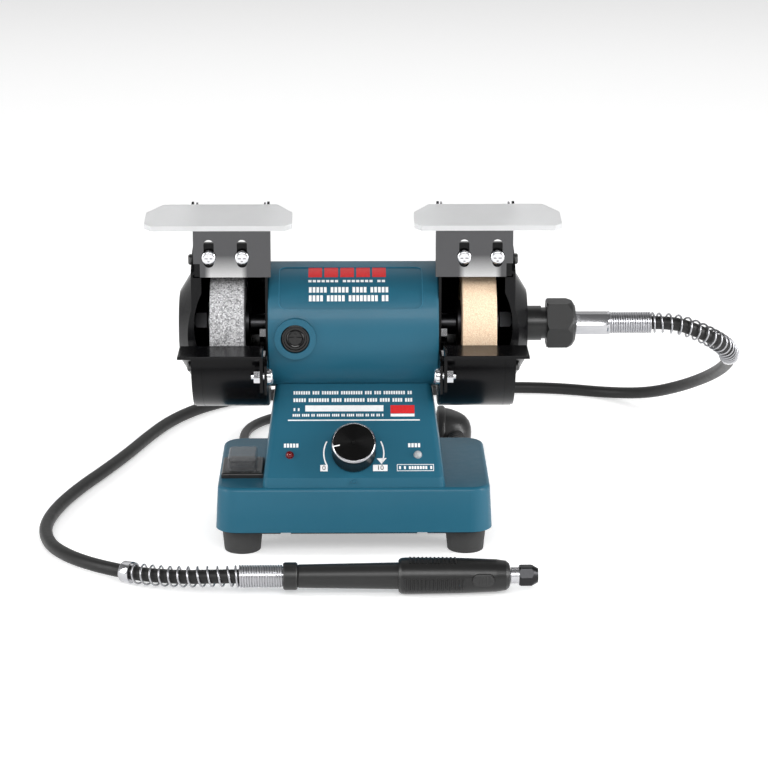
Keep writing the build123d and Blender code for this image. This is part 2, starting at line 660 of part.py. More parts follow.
def indicator_lights():
    """Two round lamps in the panel: power on the left, work on the right."""
    lamps = []
    for side in (-1, 1):
        lamp = panel_plane(side * LIGHT_X, LIGHT_UP, -3) * Cylinder(2.5, 6)
        place = panel_plane(side * LIGHT_X, LIGHT_UP, 0)
        lamps.append(lamp + place * Sphere(2.45) + panel_plane(side * LIGHT_X, LIGHT_UP, -7) * Cylinder(3.1, 3.9))
    return group(lamps)


def switch_body():
    """Switch case with its bezel, let into the top of the base."""
    top = BASE_TOP + 3
    half_x, half_y = SWITCH_WIDE / 2, SWITCH_DEEP / 2
    bezel = box(SWITCH_X - half_x, SWITCH_X + half_x, SWITCH_Y - half_y, SWITCH_Y + half_y, BASE_TOP, top)
    bezel = soften(bezel, 1.2, lambda e: e.center().Z > top - 0.01)
    case = box(SWITCH_X - 10.9, SWITCH_X + 10.9, SWITCH_Y - 13.9, SWITCH_Y + 13.9, BASE_TOP - 20, BASE_TOP)
    body = bezel + case
    return body - box(SWITCH_X - 7.5, SWITCH_X + 7.5, SWITCH_Y - 12.5, SWITCH_Y + 12.5, BASE_TOP - 8, top + 1)


def switch_rocker():
    """Rocker, tipped to its off side."""
    high = 8
    outline = [(-11.5, 0), (-11.5, high - 2.2), (-10, high - 1.2), (0, high - 3.2), (10, high - 1.2), (11.5, high - 2.2),
               (11.5, 0), (4, -3), (-4, -3)]
    rocker = profile_x(outline, -7.2, 7.2)
    rocker -= rod_x(1.5, -20, 20, 0, 0)
    return Pos(SWITCH_X, SWITCH_Y, BASE_TOP) * Rot(-8, 0, 0) * rocker


def switch_pin():
    """Pin that the rocker turns on, moulded in the switch case."""
    return rod_x(1.45, SWITCH_X - 7.5, SWITCH_X + 7.5, SWITCH_Y, BASE_TOP)


def switch_boot():
    """Clear dust boot over the rocker: a flange with a raised hollow."""
    top = BASE_TOP + 3
    x, y = SWITCH_X, SWITCH_Y
    boot = box(x - 10.2, x + 10.2, y - 14.6, y + 14.6, top, top + 1.0)
    rise = box(x - 8.6, x + 8.6, y - 13.2, y + 13.2, top, top + 8.2)
    boot += soften(rise, 2.0, lambda e: e.center().Z > top + 0.1)
    return boot - box(x - 7.8, x + 7.8, y - 12.4, y + 12.4, top - 1, top + 7.4)


# ---------------------------------------------------------------- flexible shaft


def shaft_adaptor():
    """Threaded spigot on the right cover that the flexible shaft screws onto."""
    return turned_x([(DISH_OUT - 4.5, 2.4), (DISH_OUT - 4.5, 8), (DISH_OUT, 8), (DISH_OUT, 10.35), (112, 10.35),
                     (112, 9.35), (115.2, 9.35), (115.2, 2.4)])


def union_nut():
    """Hexagonal union nut with a rounded outer end."""
    nut = hex_x(26.8, 115.2, 132.3) & turned_x(
        [(115.2, 0), (115.2, 14.2), (116.4, 15.6), (127, 15.6), (130.5, 13.4), (132.3, 10.5), (132.3, 0)])
    return nut - rod_x(2.4, 100, 140)


def shaft_ferrules():
    """Chromed ferrules with a close-wound tail, at the motor end and at the handpiece."""
    motor = turned_x([(132.3, 2.4), (132.3, 6.4), (133, 6.95), (151.4, 6.95), (152, 6.4), (153, 6.4), (153, 6.65),
                      (FERRULE_END, 6.65), (FERRULE_END, 2.4)])
    hand = turned_x([(HAND_START, 2.4), (HAND_START, 6.7), (-50, 6.7), (-49.5, 6.2), (-48.8, 6.9), (-41, 6.9),
                     (-40, 6.2), (-40, 2.4)], HAND_Y, HAND_Z)
    return group([motor, hand])


HOSE_ROUTE = [
    (177, 10, 126), (191, 10, 126), (204, 12, 121.5), (216, 18, 114.5), (225.5, 30, 106.5), (231, 48, 97.5),
    (235, 73, 88), (239, 105, 77), (241.5, 140, 64.5), (241.5, 176, 51), (236.5, 210, 37), (225, 243, 22.5),
    (207, 272, 10), (182, 295, 4), (147, 308, 4), (109, 311, 4), (70, 307, 4), (31, 300, 4), (-8, 297, 4),
    (-46, 296, 4), (-80, 285, 4), (-107, 260, 4), (-126, 226, 4), (-138, 188, 4), (-148, 150, 4),
    (-160, 111, 4), (-173, 73, 4), (-183, 34, 4), (-187, -4, 4), (-181, -38, 5), (-170, -64, 7),
    (-152, -84.5, 8.6), (-124, -102.5, 9.4), (-98, -111.5, 9.8), (-80, -115.5, 10.4), (-64, -115.5, 10.4)]
MOTOR_SPRING_RUN = 5
HAND_SPRING_RUN = len(HOSE_ROUTE) - 5


def corner_radii(points):
    """The largest tangent arc that each corner's two runs allow."""
    radii = []
    for before, here, after in zip(points, points[1:], points[2:]):
        run_in, run_out = Vector(*here) - Vector(*before), Vector(*after) - Vector(*here)
        turn = radians(run_in.get_angle(run_out))
        radii.append(0.45 * min(run_in.length, run_out.length) / tan(turn / 2))
    return radii


def tube(points, radii, radius, name):
    """A round tube along straight runs joined by tangent arcs, with its volume held against its length."""
    path = FilletPolyline(*points, radius=radii)
    start = path @ 0
    section = Plane(origin=start, z_dir=path % 0) * Circle(radius)
    solid = sweep(section, path=path)
    share = solid.volume / (pi * radius ** 2 * path.length)
    print(f"{name}: {path.length:.0f} mm, tightest radius {min(radii):.0f}, volume share {share:.4f}")
    return solid


def middle(a, b):
    """The point halfway along a run."""
    return tuple((p + q) / 2 for p, q in zip(a, b))


def hose_pieces():
    """The hose between its two bend springs, and the springs as plain sleeves of their outer size."""
    radii = corner_radii(HOSE_ROUTE)
    first, last = MOTOR_SPRING_RUN, HAND_SPRING_RUN
    cut_a = middle(HOSE_ROUTE[first], HOSE_ROUTE[first + 1])
    cut_b = middle(HOSE_ROUTE[last], HOSE_ROUTE[last + 1])
    spring_a = tube(HOSE_ROUTE[:first + 1] + [cut_a], radii[:first], SPRING_R, "motor bend spring")
    hose = tube([cut_a] + HOSE_ROUTE[first + 1:last + 1] + [cut_b], radii[first:last], HOSE_R, "flexible hose")
    spring_b = tube([cut_b] + HOSE_ROUTE[last + 1:], radii[last:], SPRING_R, "handpiece bend spring")
    return hose, spring_a, spring_b


# ---------------------------------------------------------------- handpiece


def handpiece_sleeve():
    """Collar and long tapered rear sleeve of the handpiece."""
    collar = turned_x([(-40, 4.2), (-40, 7.2), (-39.2, 7.85), (-32.8, 7.85), (-32, 7.2), (-32, 4.2)], HAND_Y, HAND_Z)
    sleeve = turned_x([(-32, 4.2), (-32, 6.3), (-31, 6.65), (25, 7.6), (25, 4.2)], HAND_Y, HAND_Z)
    return group([collar, sleeve])


def handpiece_grip():
    """Moulded front grip with a recess for the lock button and a bore for the spindle."""
    grip = turned_x([(25, 0), (25, 9.0), (26.5, 10.1), (29, 10.35), (60, 10.0), (80, 9.2), (85.5, 8.4), (87.3, 7.0),
                     (HAND_END, 5.4), (HAND_END, 0)], HAND_Y, HAND_Z)
    grip -= rod_x(5.5, 20, 84, HAND_Y, HAND_Z)
    grip -= rod_x(3.2, 80, 100, HAND_Y, HAND_Z)
    return grip - button_block(5.6, 0.15)


def button_block(start, gap):
    """A rounded block along the lock button's own direction, from a distance out of the grip's axis."""
    place = Pos(72.5, HAND_Y, HAND_Z) * Rot(BUTTON_TURN, 0, 0)
    return place * extrude(Pos(0, 0, start) * RectangleRounded(12 + 2 * gap, 7 + 2 * gap, 3.2), 6)


def lock_button():
    """Spindle lock button with a crowned top."""
    crown = rod_x(10.6, 60, 90, HAND_Y, HAND_Z)
    return button_block(7.2, 0) & crown


def handpiece_bearings():
    """Two small sealed bearings in the grip."""
    return group([ring_x(5.5, 2.5 + FIT, x, x + 4, HAND_Y, HAND_Z) for x in (30, 79)])


def handpiece_spindle():
    """Spindle of the handpiece, from the end of the flexible core to the collet seat."""
    spindle = rod_x(1.8, HAND_START + 2, 20, HAND_Y, HAND_Z) + rod_x(2.5, 19, 93, HAND_Y, HAND_Z)
    spindle += rod_x(4.65, HAND_END + 0.4, 93, HAND_Y, HAND_Z)
    return spindle


def collet_nut():
    """Faceted collet nut with the bore that takes a tool shank."""
    nut = hex_x(11, 93, 103.7, HAND_Y, HAND_Z) & turned_x(
        [(93, 0), (93, 5.6), (94, 6.1), (100, 6.1), (103.7, 4.0), (103.7, 0)], HAND_Y, HAND_Z)
    return nut - rod_x(1.6, 90, 110, HAND_Y, HAND_Z)


# ---------------------------------------------------------------- mains cord

CORD_OUT = [(-40, 72, 28), (-40, 88, 28), (-45, 111, 17), (-58, 132, 6), (-69, 156, 3.3), (-75, 184, 3.3),
            (-71, 214, 3.3), (-55, 238, 3.3), (-28, 251, 3.3), (0, 253, 3.6), (24, 242, 3.9), (38, 219, 3.95),
            (40, 190, 3.95)]
CORD_BACK = [(20, 155.4, 10.5), (4, 143, 8), (-6, 127, 5), (-9.5, 111, 3.6), (-9, 95.5, 3.3), (-3.5, 81.5, 3.3),
             (7, 71, 3.3), (21, 65, 4.2), (36.3, 65, 7), (50.3, 71, 11), (61, 81.5, 15), (66.5, 95.5, 17.6),
             (66.5, 110, 17.6)]


def cord_gland():
    """Tapered strain relief in the back of the base."""
    wall = BASE_Y / 2 + 1
    sleeve = Pos(-40, (wall + 2 + 72) / 2, 28) * Rot(-90, 0, 0) * Cone(6.2, 4.2, 72 - wall - 2)
    return sleeve + rod_y(7.5, wall, wall + 2, -40, 28) + rod_y(4.9, wall - 7, wall, -40, 28)


def power_cord():
    """The free stretches of the cord, from the gland to the coil and from the coil to the plug."""
    out = tube(CORD_OUT, corner_radii(CORD_OUT), CORD_R, "cord from the gland")
    back = tube(CORD_BACK, corner_radii(CORD_BACK), CORD_R, "cord to the plug")
    return out, back


def cord_coil():
    """The neat coil of spare cord, as one ring of its outer shape: three turns wide and two high."""
    wide = 3 * 2 * CORD_R
    high = 2 * 2 * CORD_R
    plane = Plane(origin=(COIL_X, COIL_Y, 0), x_dir=(1, 0, 0), z_dir=(0, -1, 0))
    section = plane * Pos(COIL_MID_R, COIL_LIFT + high / 2, 0) * RectangleRounded(wide, high, 3)
    return revolve(section, Axis((COIL_X, COIL_Y, 0), (0, 0, 1)), 360)


def plug():
    """Angled round plug lying on its rim, with two pins and its side strain relief."""
    body = turned_x([(PLUG_X, 0), (PLUG_X, PLUG_R), (PLUG_X + 4, PLUG_R), (PLUG_X + 6, 16), (PLUG_X + 14, 13.5),
                     (PLUG_X + 20, 9), (PLUG_X + 22.5, 0)], PLUG_Y, PLUG_R)
    neck = Pos(66.5, 124.5, PLUG_R) * Rot(90, 0, 0) * Cone(5.6, 4.2, 29)
    pins = [rod_x(2.4, PLUG_X - 19, PLUG_X, PLUG_Y + dy, PLUG_R) for dy in (-9.5, 9.5)]
    return group([body + neck, *pins])


# ---------------------------------------------------------------- assembly


def build():
    """Make every node."""
    keep("base_housing", base_housing())
    keep("bottom_plate", bottom_plate())
    keep("rubber_feet", group([rubber_foot(x, y) for x, y in foot_places()]))
    keep("case_screws", case_screws())
    keep("neck_housing", neck_housing())
    keep("motor_housing", motor_housing())
    keep("end_bells", group(both_sides(end_bell())))
    keep("spindle_bearings", group(both_sides(bearing())))
    keep("stator_core", stator_core())
    coil = field_winding()
    lower = Pos(0, AXIS_Y, AXIS_Z) * Rot(180, 0, 0) * Pos(0, -AXIS_Y, -AXIS_Z) * coil
    keep("field_windings", group([coil, lower]))
    for name, shape in zip(("brush_holders", "carbon_brushes", "brush_caps"), brush_pieces()):
        keep(name, shape)
    keep("spindle_shaft", spindle_shaft())
    keep("armature", armature())
    keep("commutator", commutator())
    keep("cooling_fan", cooling_fan())
    coarse, fine = both_sides(wheel())
    keep("coarse_wheel", coarse)
    keep("fine_wheel", fine)
    keep("wheel_flanges", wheel_flanges())
    keep("spindle_nuts", spindle_nuts())
    keep("left_guard_cover", mirror(guard_cover(0), about=Plane.YZ))
    keep("right_guard_cover", guard_cover(8.0))
    keep("guard_bolts", guard_bolts())
    keep("cover_screws", cover_screws())
    keep("bracket_screws", bracket_screws())
    pairs = {"guard": guard(), "spark_bracket": spark_bracket(), "shield_hinge": shield_hinge(),
             "eye_shield": eye_shield(), "tool_rest": tool_rest(), "rest_clamp": rest_clamp()}
    for name, shape in pairs.items():
        left, right = both_sides(shape)
        keep("left_" + name, left)
        keep("right_" + name, right)
    keep("speed_knob", speed_knob())
    keep("control_board", control_board())
    keep("indicator_lights", indicator_lights())
    keep("switch_body", switch_body() + switch_pin())
    keep("switch_rocker", switch_rocker())
    keep("switch_boot", switch_boot())
    keep("shaft_adaptor", shaft_adaptor())
    keep("union_nut", union_nut())
    keep("shaft_ferrules", shaft_ferrules())
    hose, spring_a, spring_b = hose_pieces()
    keep("flexible_hose", hose)
    keep("bend_springs", group([spring_a, spring_b]))
    keep("handpiece_sleeve", handpiece_sleeve())
    keep("handpiece_grip", handpiece_grip())
    keep("handpiece_bearings", handpiece_bearings())
    keep("lock_button", lock_button())
    keep("handpiece_spindle", handpiece_spindle())
    keep("collet_nut", collet_nut())
    keep("cord_gland", cord_gland())
    out, back = power_cord()
    keep("power_cord", group([out, back]))
    keep("power_cord_coil", cord_coil())
    keep("plug", plug())


build()
os.makedirs("parts", exist_ok=True)
for node, piece in NODES.items():
    export_step(piece, f"parts/{node}.step")
print(len(NODES), "nodes")
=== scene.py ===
"""Looks of the mini bench grinder with its flexible shaft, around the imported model.  Metres, +Z up."""

import math
import random

import bmesh
import bpy
from mathutils import Matrix, Vector, noise


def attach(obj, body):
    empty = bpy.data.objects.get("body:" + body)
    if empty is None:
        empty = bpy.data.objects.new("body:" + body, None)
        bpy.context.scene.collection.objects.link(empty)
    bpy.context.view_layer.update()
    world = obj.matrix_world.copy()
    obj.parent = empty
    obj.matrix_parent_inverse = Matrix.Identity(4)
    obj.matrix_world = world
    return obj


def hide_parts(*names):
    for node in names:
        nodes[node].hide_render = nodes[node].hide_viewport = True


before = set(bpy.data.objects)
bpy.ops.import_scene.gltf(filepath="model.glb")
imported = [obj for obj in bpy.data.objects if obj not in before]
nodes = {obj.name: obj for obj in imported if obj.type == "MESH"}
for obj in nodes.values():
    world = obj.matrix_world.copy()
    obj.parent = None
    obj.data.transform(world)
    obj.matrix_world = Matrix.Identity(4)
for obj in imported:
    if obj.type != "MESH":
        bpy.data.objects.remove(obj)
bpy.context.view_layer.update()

# ---------------------------------------------------------------- studio
# A pale sweep of paper, a large soft lamp above, two at the sides and a long lens well in front,
# a little above the machine.

CAMERA_PLACE = (0.0, -1.5431, 0.5104)
CAMERA_DIP = 15.2
CAMERA_YAW = 0.675
CAMERA_LENS = 125.4

camera = bpy.data.objects.new("camera", bpy.data.cameras.new("camera"))
camera.data.lens = CAMERA_LENS
camera.data.clip_end = 20.0
camera.location = CAMERA_PLACE
camera.rotation_euler = (math.radians(90 - CAMERA_DIP), 0, math.radians(-CAMERA_YAW))
bpy.context.scene.collection.objects.link(camera)
bpy.context.scene.camera = camera
bpy.context.scene.view_settings.view_transform = "Standard"


def softbox(name, place, aim, width, depth, power):
    """A rectangular area lamp that faces a point."""
    lamp = bpy.data.objects.new(name, bpy.data.lights.new(name, "AREA"))
    lamp.data.shape = "RECTANGLE"
    lamp.data.size = width
    lamp.data.size_y = depth
    lamp.data.energy = power
    lamp.location = place
    lamp.rotation_euler = (Vector(aim) - Vector(place)).to_track_quat("-Z", "Y").to_euler()
    bpy.context.scene.collection.objects.link(lamp)


softbox("rear_softbox", (0, 1.5, 1.6), (0, 0.5, 0.0), 3.0, 1.6, 12)
softbox("left_strip", (-1.2, -0.35, 0.5), (0, 0, 0.08), 0.35, 0.9, 8)
softbox("right_strip", (1.2, -0.35, 0.5), (0, 0, 0.08), 0.35, 0.9, 11)
softbox("front_softbox", (0.0, -1.9, 1.3), (0, 0, 0.08), 1.8, 0.7, 30)

world = bpy.data.worlds.new("studio")
world.use_nodes = True
backdrop = world.node_tree.nodes["Background"]
backdrop.inputs["Strength"].default_value = 1.0
heading = world.node_tree.nodes.new("ShaderNodeTexCoord")
heights = world.node_tree.nodes.new("ShaderNodeSeparateXYZ")
dusk = world.node_tree.nodes.new("ShaderNodeValToRGB")
dusk.color_ramp.elements[0].position = 0.1
dusk.color_ramp.elements[0].color = (0.6, 0.6, 0.6, 1)
dusk.color_ramp.elements[1].position = 0.75
dusk.color_ramp.elements[1].color = (0.2, 0.2, 0.2, 1)
world.node_tree.links.new(heading.outputs["Generated"], heights.inputs[0])
world.node_tree.links.new(heights.outputs["Z"], dusk.inputs["Fac"])
world.node_tree.links.new(dusk.outputs["Color"], backdrop.inputs["Color"])
bpy.context.scene.world = world


def new_piece(name, mesh_from, smooth=True):
    """A linked object from a bmesh, which is freed."""
    mesh = bpy.data.meshes.new(name)
    mesh_from.to_mesh(mesh)
    mesh_from.free()
    mesh.polygons.foreach_set("use_smooth", [smooth] * len(mesh.polygons))
    obj = bpy.data.objects.new(name, mesh)
    bpy.context.scene.collection.objects.link(obj)
    return obj


paper = bmesh.new()
bmesh.ops.create_grid(paper, x_segments=1, y_segments=1, size=6)
floor = new_piece("paper_floor", paper)


class Value:
    """A shader socket on which Python's arithmetic adds Math nodes."""

    def __init__(self, finish, socket):
        self.finish = finish
        self.socket = socket

    def math(self, operation, *values):
        return self.finish.node("ShaderNodeMath", {"operation": operation}, dict(enumerate(values)))

    def __add__(self, other):
        return self.math("ADD", self, other)

    def __sub__(self, other):
        return self.math("SUBTRACT", self, other)

    def __rsub__(self, other):
        return self.math("SUBTRACT", other, self)

    def __mul__(self, other):
        return self.math("MULTIPLY", self, other)

    __radd__ = __add__
    __rmul__ = __mul__


class Finish:
    """A material being made: fixed values go on its shader, and patterns link to it."""

    def __init__(self, name, fixed):
        self.material = bpy.data.materials.new(name)
        self.material.use_nodes = True
        self.tree = self.material.node_tree
        self.shader = self.tree.nodes["Principled BSDF"]
        for socket, value in fixed.items():
            self.shader.inputs[socket].default_value = value

    def node(self, kind, settings=None, sockets=None, out=0):
        """Add any node: its settings first, then the values or links of its sockets."""
        made = self.tree.nodes.new(kind)
        for key, value in (settings or {}).items():
            if key == "stops":
                for element, (place, color) in zip(made.color_ramp.elements, value):
                    element.position = place
                    element.color = color
            else:
                setattr(made, key, value)
        for key, value in (sockets or {}).items():
            if isinstance(value, Value):
                self.tree.links.new(value.socket, made.inputs[key])
            else:
                made.inputs[key].default_value = value
        return Value(self, made.outputs[out])

    def place(self, scale=(1, 1, 1), turn=(0, 0, 0), centre=(0, 0, 0)):
        """Object coordinates, centred, turned and stretched."""
        coordinates = self.node("ShaderNodeTexCoord", out="Object")
        if centre != (0, 0, 0):
            away = tuple(-c for c in centre)
            coordinates = self.node("ShaderNodeMapping", {}, {"Vector": coordinates, "Location": away})
        return self.node("ShaderNodeMapping", {}, {"Vector": coordinates, "Rotation": turn, "Scale": scale})

    def noise(self, size, detail=3.0, rough=0.55, stretch=(1, 1, 1), **where):
        """Cloudy noise whose blotches are about size across."""
        scale = tuple(s / size for s in stretch)
        sockets = {"Vector": self.place(scale, **where), "Scale": 1.0, "Detail": detail, "Roughness": rough}
        return self.node("ShaderNodeTexNoise", {}, sockets)

    def grains(self, size, feature="F1", out="Distance"):
        """Cells about size across."""
        scale = (1 / size, 1 / size, 1 / size)
        return self.node("ShaderNodeTexVoronoi", {"feature": feature},
                         {"Vector": self.place(scale), "Scale": 1.0}, out)

    def ramp(self, value, low, high, low_color=(0, 0, 0, 1), high_color=(1, 1, 1, 1)):
        """Two-stop ramp from one colour to another."""
        return self.node("ShaderNodeValToRGB", {"stops": [(low, low_color), (high, high_color)]},
                         {"Fac": value})

    def blend(self, factor, first, second):
        """Mix two colours."""
        return self.node("ShaderNodeMix", {"data_type": "RGBA"}, {0: factor, 6: first, 7: second}, out=2)

    def link(self, socket, value):
        """Feed one of the shader's surface sockets."""
        self.tree.links.new(value.socket, self.shader.inputs[socket])

    def bump(self, height, distance, strength=1.0):
        """Raise the surface by a height pattern."""
        self.link("Normal", self.node("ShaderNodeBump", {},
                                      {"Height": height, "Distance": distance, "Strength": strength}))


def grey(level):
    """A neutral colour."""
    return (level, level, level, 1)


paper_finish = Finish("pale_paper", {"Base Color": grey(0.88), "Roughness": 0.75, "Specular IOR Level": 0.1,
                                     "Emission Color": grey(1.0), "Emission Strength": 0.42})
floor.data.materials.append(paper_finish.material)

# ---------------------------------------------------------------- flexible shaft hose
# A black rubber hose, 8 mm thick, with the wound steel core inside it.  It leaves the chromed ferrule
# at the right of the machine, falls to the bench behind it and comes round to the handpiece.

HOSE = [
    (177, 10, 126), (191, 10, 126), (204, 12, 121.5), (216, 18, 114.5), (225.5, 30, 106.5), (231, 48, 97.5),
    (235, 73, 88), (239, 105, 77), (241.5, 140, 64.5), (241.5, 176, 51), (236.5, 210, 37), (225, 243, 22.5),
    (207, 272, 10), (182, 295, 4), (147, 308, 4), (109, 311, 4), (70, 307, 4), (31, 300, 4), (-8, 297, 4),
    (-46, 296, 4), (-80, 285, 4), (-107, 260, 4), (-126, 226, 4), (-138, 188, 4), (-148, 150, 4),
    (-160, 111, 4), (-173, 73, 4), (-183, 34, 4), (-187, -4, 4), (-181, -38, 4.6), (-168, -65, 6.2),
    (-148, -86, 6.8), (-122, -102.5, 7.2), (-98, -112, 8.8), (-80, -115.5, 10.4), (-64, -115.5, 10.4)]
HOSE_THICK = 0.008


def route_curve(name, points, thick):
    """An open smooth curve whose control points are a route in millimetres."""
    curve = bpy.data.curves.new(name, "CURVE")
    curve.dimensions = "3D"
    spline = curve.splines.new("NURBS")
    spline.points.add(len(points) - 1)
    for point, place in zip(spline.points, points):
        point.co = (*(v / 1000 for v in place), 1)
    spline.order_u = 3
    spline.use_endpoint_u = True
    spline.resolution_u = 6
    curve.bevel_depth = thick / 2
    curve.bevel_resolution = 6
    curve.use_fill_caps = True
    obj = bpy.data.objects.new(name, curve)
    bpy.context.scene.collection.objects.link(obj)
    return obj


def line_of(curve_object):
    """The points along a curve's own line."""
    bare = curve_object.copy()
    bare.data = curve_object.data.copy()
    bare.data.bevel_depth = 0
    bpy.context.scene.collection.objects.link(bare)
    bpy.context.view_layer.update()
    mesh = bpy.data.meshes.new_from_object(bare.evaluated_get(bpy.context.evaluated_depsgraph_get()))
    line = [v.co.copy() for v in mesh.vertices]
    bpy.data.objects.remove(bare)
    return line


def length_of(line):
    """Length of a line of points."""
    return sum((b - a).length for a, b in zip(line, line[1:]))


def rubber(name, level, rough):
    """Satin black rubber with a fine matt skin and faint scuffs."""
    skin = Finish(name, {"Specular IOR Level": 0.3})
    cloud = skin.noise(0.02, 4)
    skin.link("Base Color", skin.blend(cloud, grey(level * 0.8), grey(level * 1.3)))
    skin.link("Roughness", skin.noise(0.004, 5) * 0.18 + (rough - 0.09))
    skin.bump(skin.noise(0.0005, 3), 0.00002, 0.6)
    return skin.material


hose_rubber = rubber("hose_rubber", 0.01, 0.45)
hose = route_curve("hose", HOSE, HOSE_THICK)
hose.data.materials.append(hose_rubber)
hose_line = line_of(hose)


class Path:
    """A line of points with distances along it and two cross directions carried along without twist."""

    def __init__(self, points):
        self.points = points
        self.at = [0.0]
        for a, b in zip(points, points[1:]):
            self.at.append(self.at[-1] + (b - a).length)
        self.runs = [(b - a).normalized() for a, b in zip(points, points[1:])]
        side = self.runs[0].orthogonal().normalized()
        self.sides = []
        for run in self.runs:
            side = (side - run * side.dot(run)).normalized()
            self.sides.append(side)

    def station(self, distance):
        """The point, the run and the two cross directions at a distance along the line."""
        k = 0
        while k < len(self.runs) - 1 and self.at[k + 1] < distance:
            k += 1
        part = (distance - self.at[k]) / (self.at[k + 1] - self.at[k])
        run = self.runs[k]
        side = self.sides[k]
        if k + 1 < len(self.runs):
            run = run.lerp(self.runs[k + 1], part).normalized()
            side = self.sides[k].lerp(self.sides[k + 1], part)
            side = (side - run * side.dot(run)).normalized()
        return self.points[k].lerp(self.points[k + 1], part), run, side, run.cross(side)

    def matrix(self, distance):
        """A frame at a distance along the line, its X along the run."""
        point, run, side, other = self.station(distance)
        frame_here = Matrix((run, side, other)).transposed().to_4x4()
        frame_here.translation = point
        return frame_here


# ---------------------------------------------------------------- bend springs and ferrules
# Bright zinc-plated spring wire, wound tight over each ferrule and then open over the hose, which it keeps
# from kinking.  A thin plated band ends each spring.  At the motor the ferrule is a hexagon bar.

WIRE = 0.0012
WOUND_PITCH = 0.00145
WOUND_LENGTH = 0.024
WIRE_STEPS = 14


def metal_finish(name, color, rough, grain=0.0006, stretch=(1, 1, 1), spread=0.12, dull=0.85):
    """Bare or plated metal with fine working marks and slight tarnish."""
    skin = Finish(name, {"Metallic": 1.0})
    tarnish = skin.noise(0.012, 4)
    skin.link("Base Color", skin.blend(tarnish, (*(c * dull for c in color), 1), (*color, 1)))
    marks = skin.noise(grain, 3, stretch=stretch)
    skin.link("Roughness", marks * spread + skin.noise(0.008, 3) * 0.08 + (rough - spread / 2 - 0.04))
    skin.bump(marks, 0.00001, 0.35)
    return skin


def metal(*settings, **more):
    """The material of a metal finish."""
    return metal_finish(*settings, **more).material


spring_steel = metal("spring_steel", (0.46, 0.46, 0.48), 0.3)
bright_plate = metal("bright_plate", (0.55, 0.55, 0.57), 0.14, stretch=(1, 12, 12))


def wound_wire(name, path, reach, open_pitch, tight_radius, open_radius):
    """Spring wire along a path: close-wound first, then opening out to its reach."""
    curve = bpy.data.curves.new(name, "CURVE")
    curve.dimensions = "3D"
    places = []
    distance, turn = WIRE / 2, 0.0
    while distance < reach:
        opening = min(1.0, max(0.0, (distance - WOUND_LENGTH) / 0.006))
        pitch = WOUND_PITCH + (open_pitch - WOUND_PITCH) * opening
        radius = tight_radius + (open_radius - tight_radius) * opening
        point, run, side, other = path.station(distance)
        places.append(point + (side * math.cos(turn) + other * math.sin(turn)) * radius)
        turn += 2 * math.pi / WIRE_STEPS
        distance += pitch / WIRE_STEPS
    spline = curve.splines.new("NURBS")
    spline.points.add(len(places) - 1)
    for point, place in zip(spline.points, places):
        point.co = (*place, 1)
    spline.order_u = 3
    spline.use_endpoint_u = True
    spline.resolution_u = 2
    curve.bevel_depth = WIRE / 2
    curve.bevel_resolution = 2
    curve.use_fill_caps = True
    obj = bpy.data.objects.new(name, curve)
    bpy.context.scene.collection.objects.link(obj)
    obj.data.materials.append(spring_steel)
    return obj


def turned(profile, steps=64):
    """A closed round shape about X from (along, radius) points in millimetres."""
    shape = bmesh.new()
    corners = [shape.verts.new((x / 1000, 0, r / 1000)) for x, r in profile]
    edges = [shape.edges.new(pair) for pair in zip(corners, corners[1:])]
    bmesh.ops.spin(shape, geom=corners + edges, cent=(0, 0, 0), axis=(1, 0, 0), angle=2 * math.pi,
                   steps=steps, use_merge=True)
    bmesh.ops.remove_doubles(shape, verts=shape.verts, dist=1e-6)
    bmesh.ops.recalc_face_normals(shape, faces=shape.faces)
    return shape


def joined(first, *others):
    """Add other bmeshes to the first, and free them."""
    for other in others:
        spare = bpy.data.meshes.new("spare")
        other.to_mesh(spare)
        other.free()
        first.from_mesh(spare)
        bpy.data.meshes.remove(spare)
    return first


def moved(shape, matrix):
    """Place a bmesh."""
    bmesh.ops.transform(shape, matrix=matrix, verts=shape.verts)
    return shape


def sharp_edges(obj, degrees=35):
    """Smooth shading that breaks at corners sharper than an angle."""
    obj.data.set_sharp_from_angle(angle=math.radians(degrees))


motor_wound_from = Vector((0.153, 0.010, 0.126))
hand_wound_from = Vector((-0.040, -0.1155, 0.0104))
motor_path = Path([motor_wound_from] + hose_line)
hand_path = Path([hand_wound_from] + hose_line[::-1])
CLOSE_WOUND, MOTOR_OPEN, HAND_OPEN = 0.024, 0.089, 0.066
MOTOR_SPRING = CLOSE_WOUND + MOTOR_OPEN
HAND_SPRING = CLOSE_WOUND + HAND_OPEN
OPEN_PITCH, OPEN_RADIUS = 0.0056, 0.0057
motor_spring = wound_wire("motor_bend_spring", motor_path, MOTOR_SPRING, OPEN_PITCH, 0.00605, OPEN_RADIUS)
hand_spring = wound_wire("hand_bend_spring", hand_path, HAND_SPRING, OPEN_PITCH, 0.0061, OPEN_RADIUS)

bands = []
for path, reach in ((motor_path, MOTOR_SPRING), (hand_path, HAND_SPRING)):
    band = turned([(0, 4.1), (0, 5.9), (0.4, 6.3), (5.6, 6.3), (6.4, 5.9), (7.0, 4.9), (7.0, 4.1),
                   (0, 4.1)], 40)
    bands.append(moved(band, path.matrix(reach - 0.001)))
spring_bands = new_piece("spring_bands", joined(*bands))
sharp_edges(spring_bands)
spring_bands.data.materials.append(bright_plate)

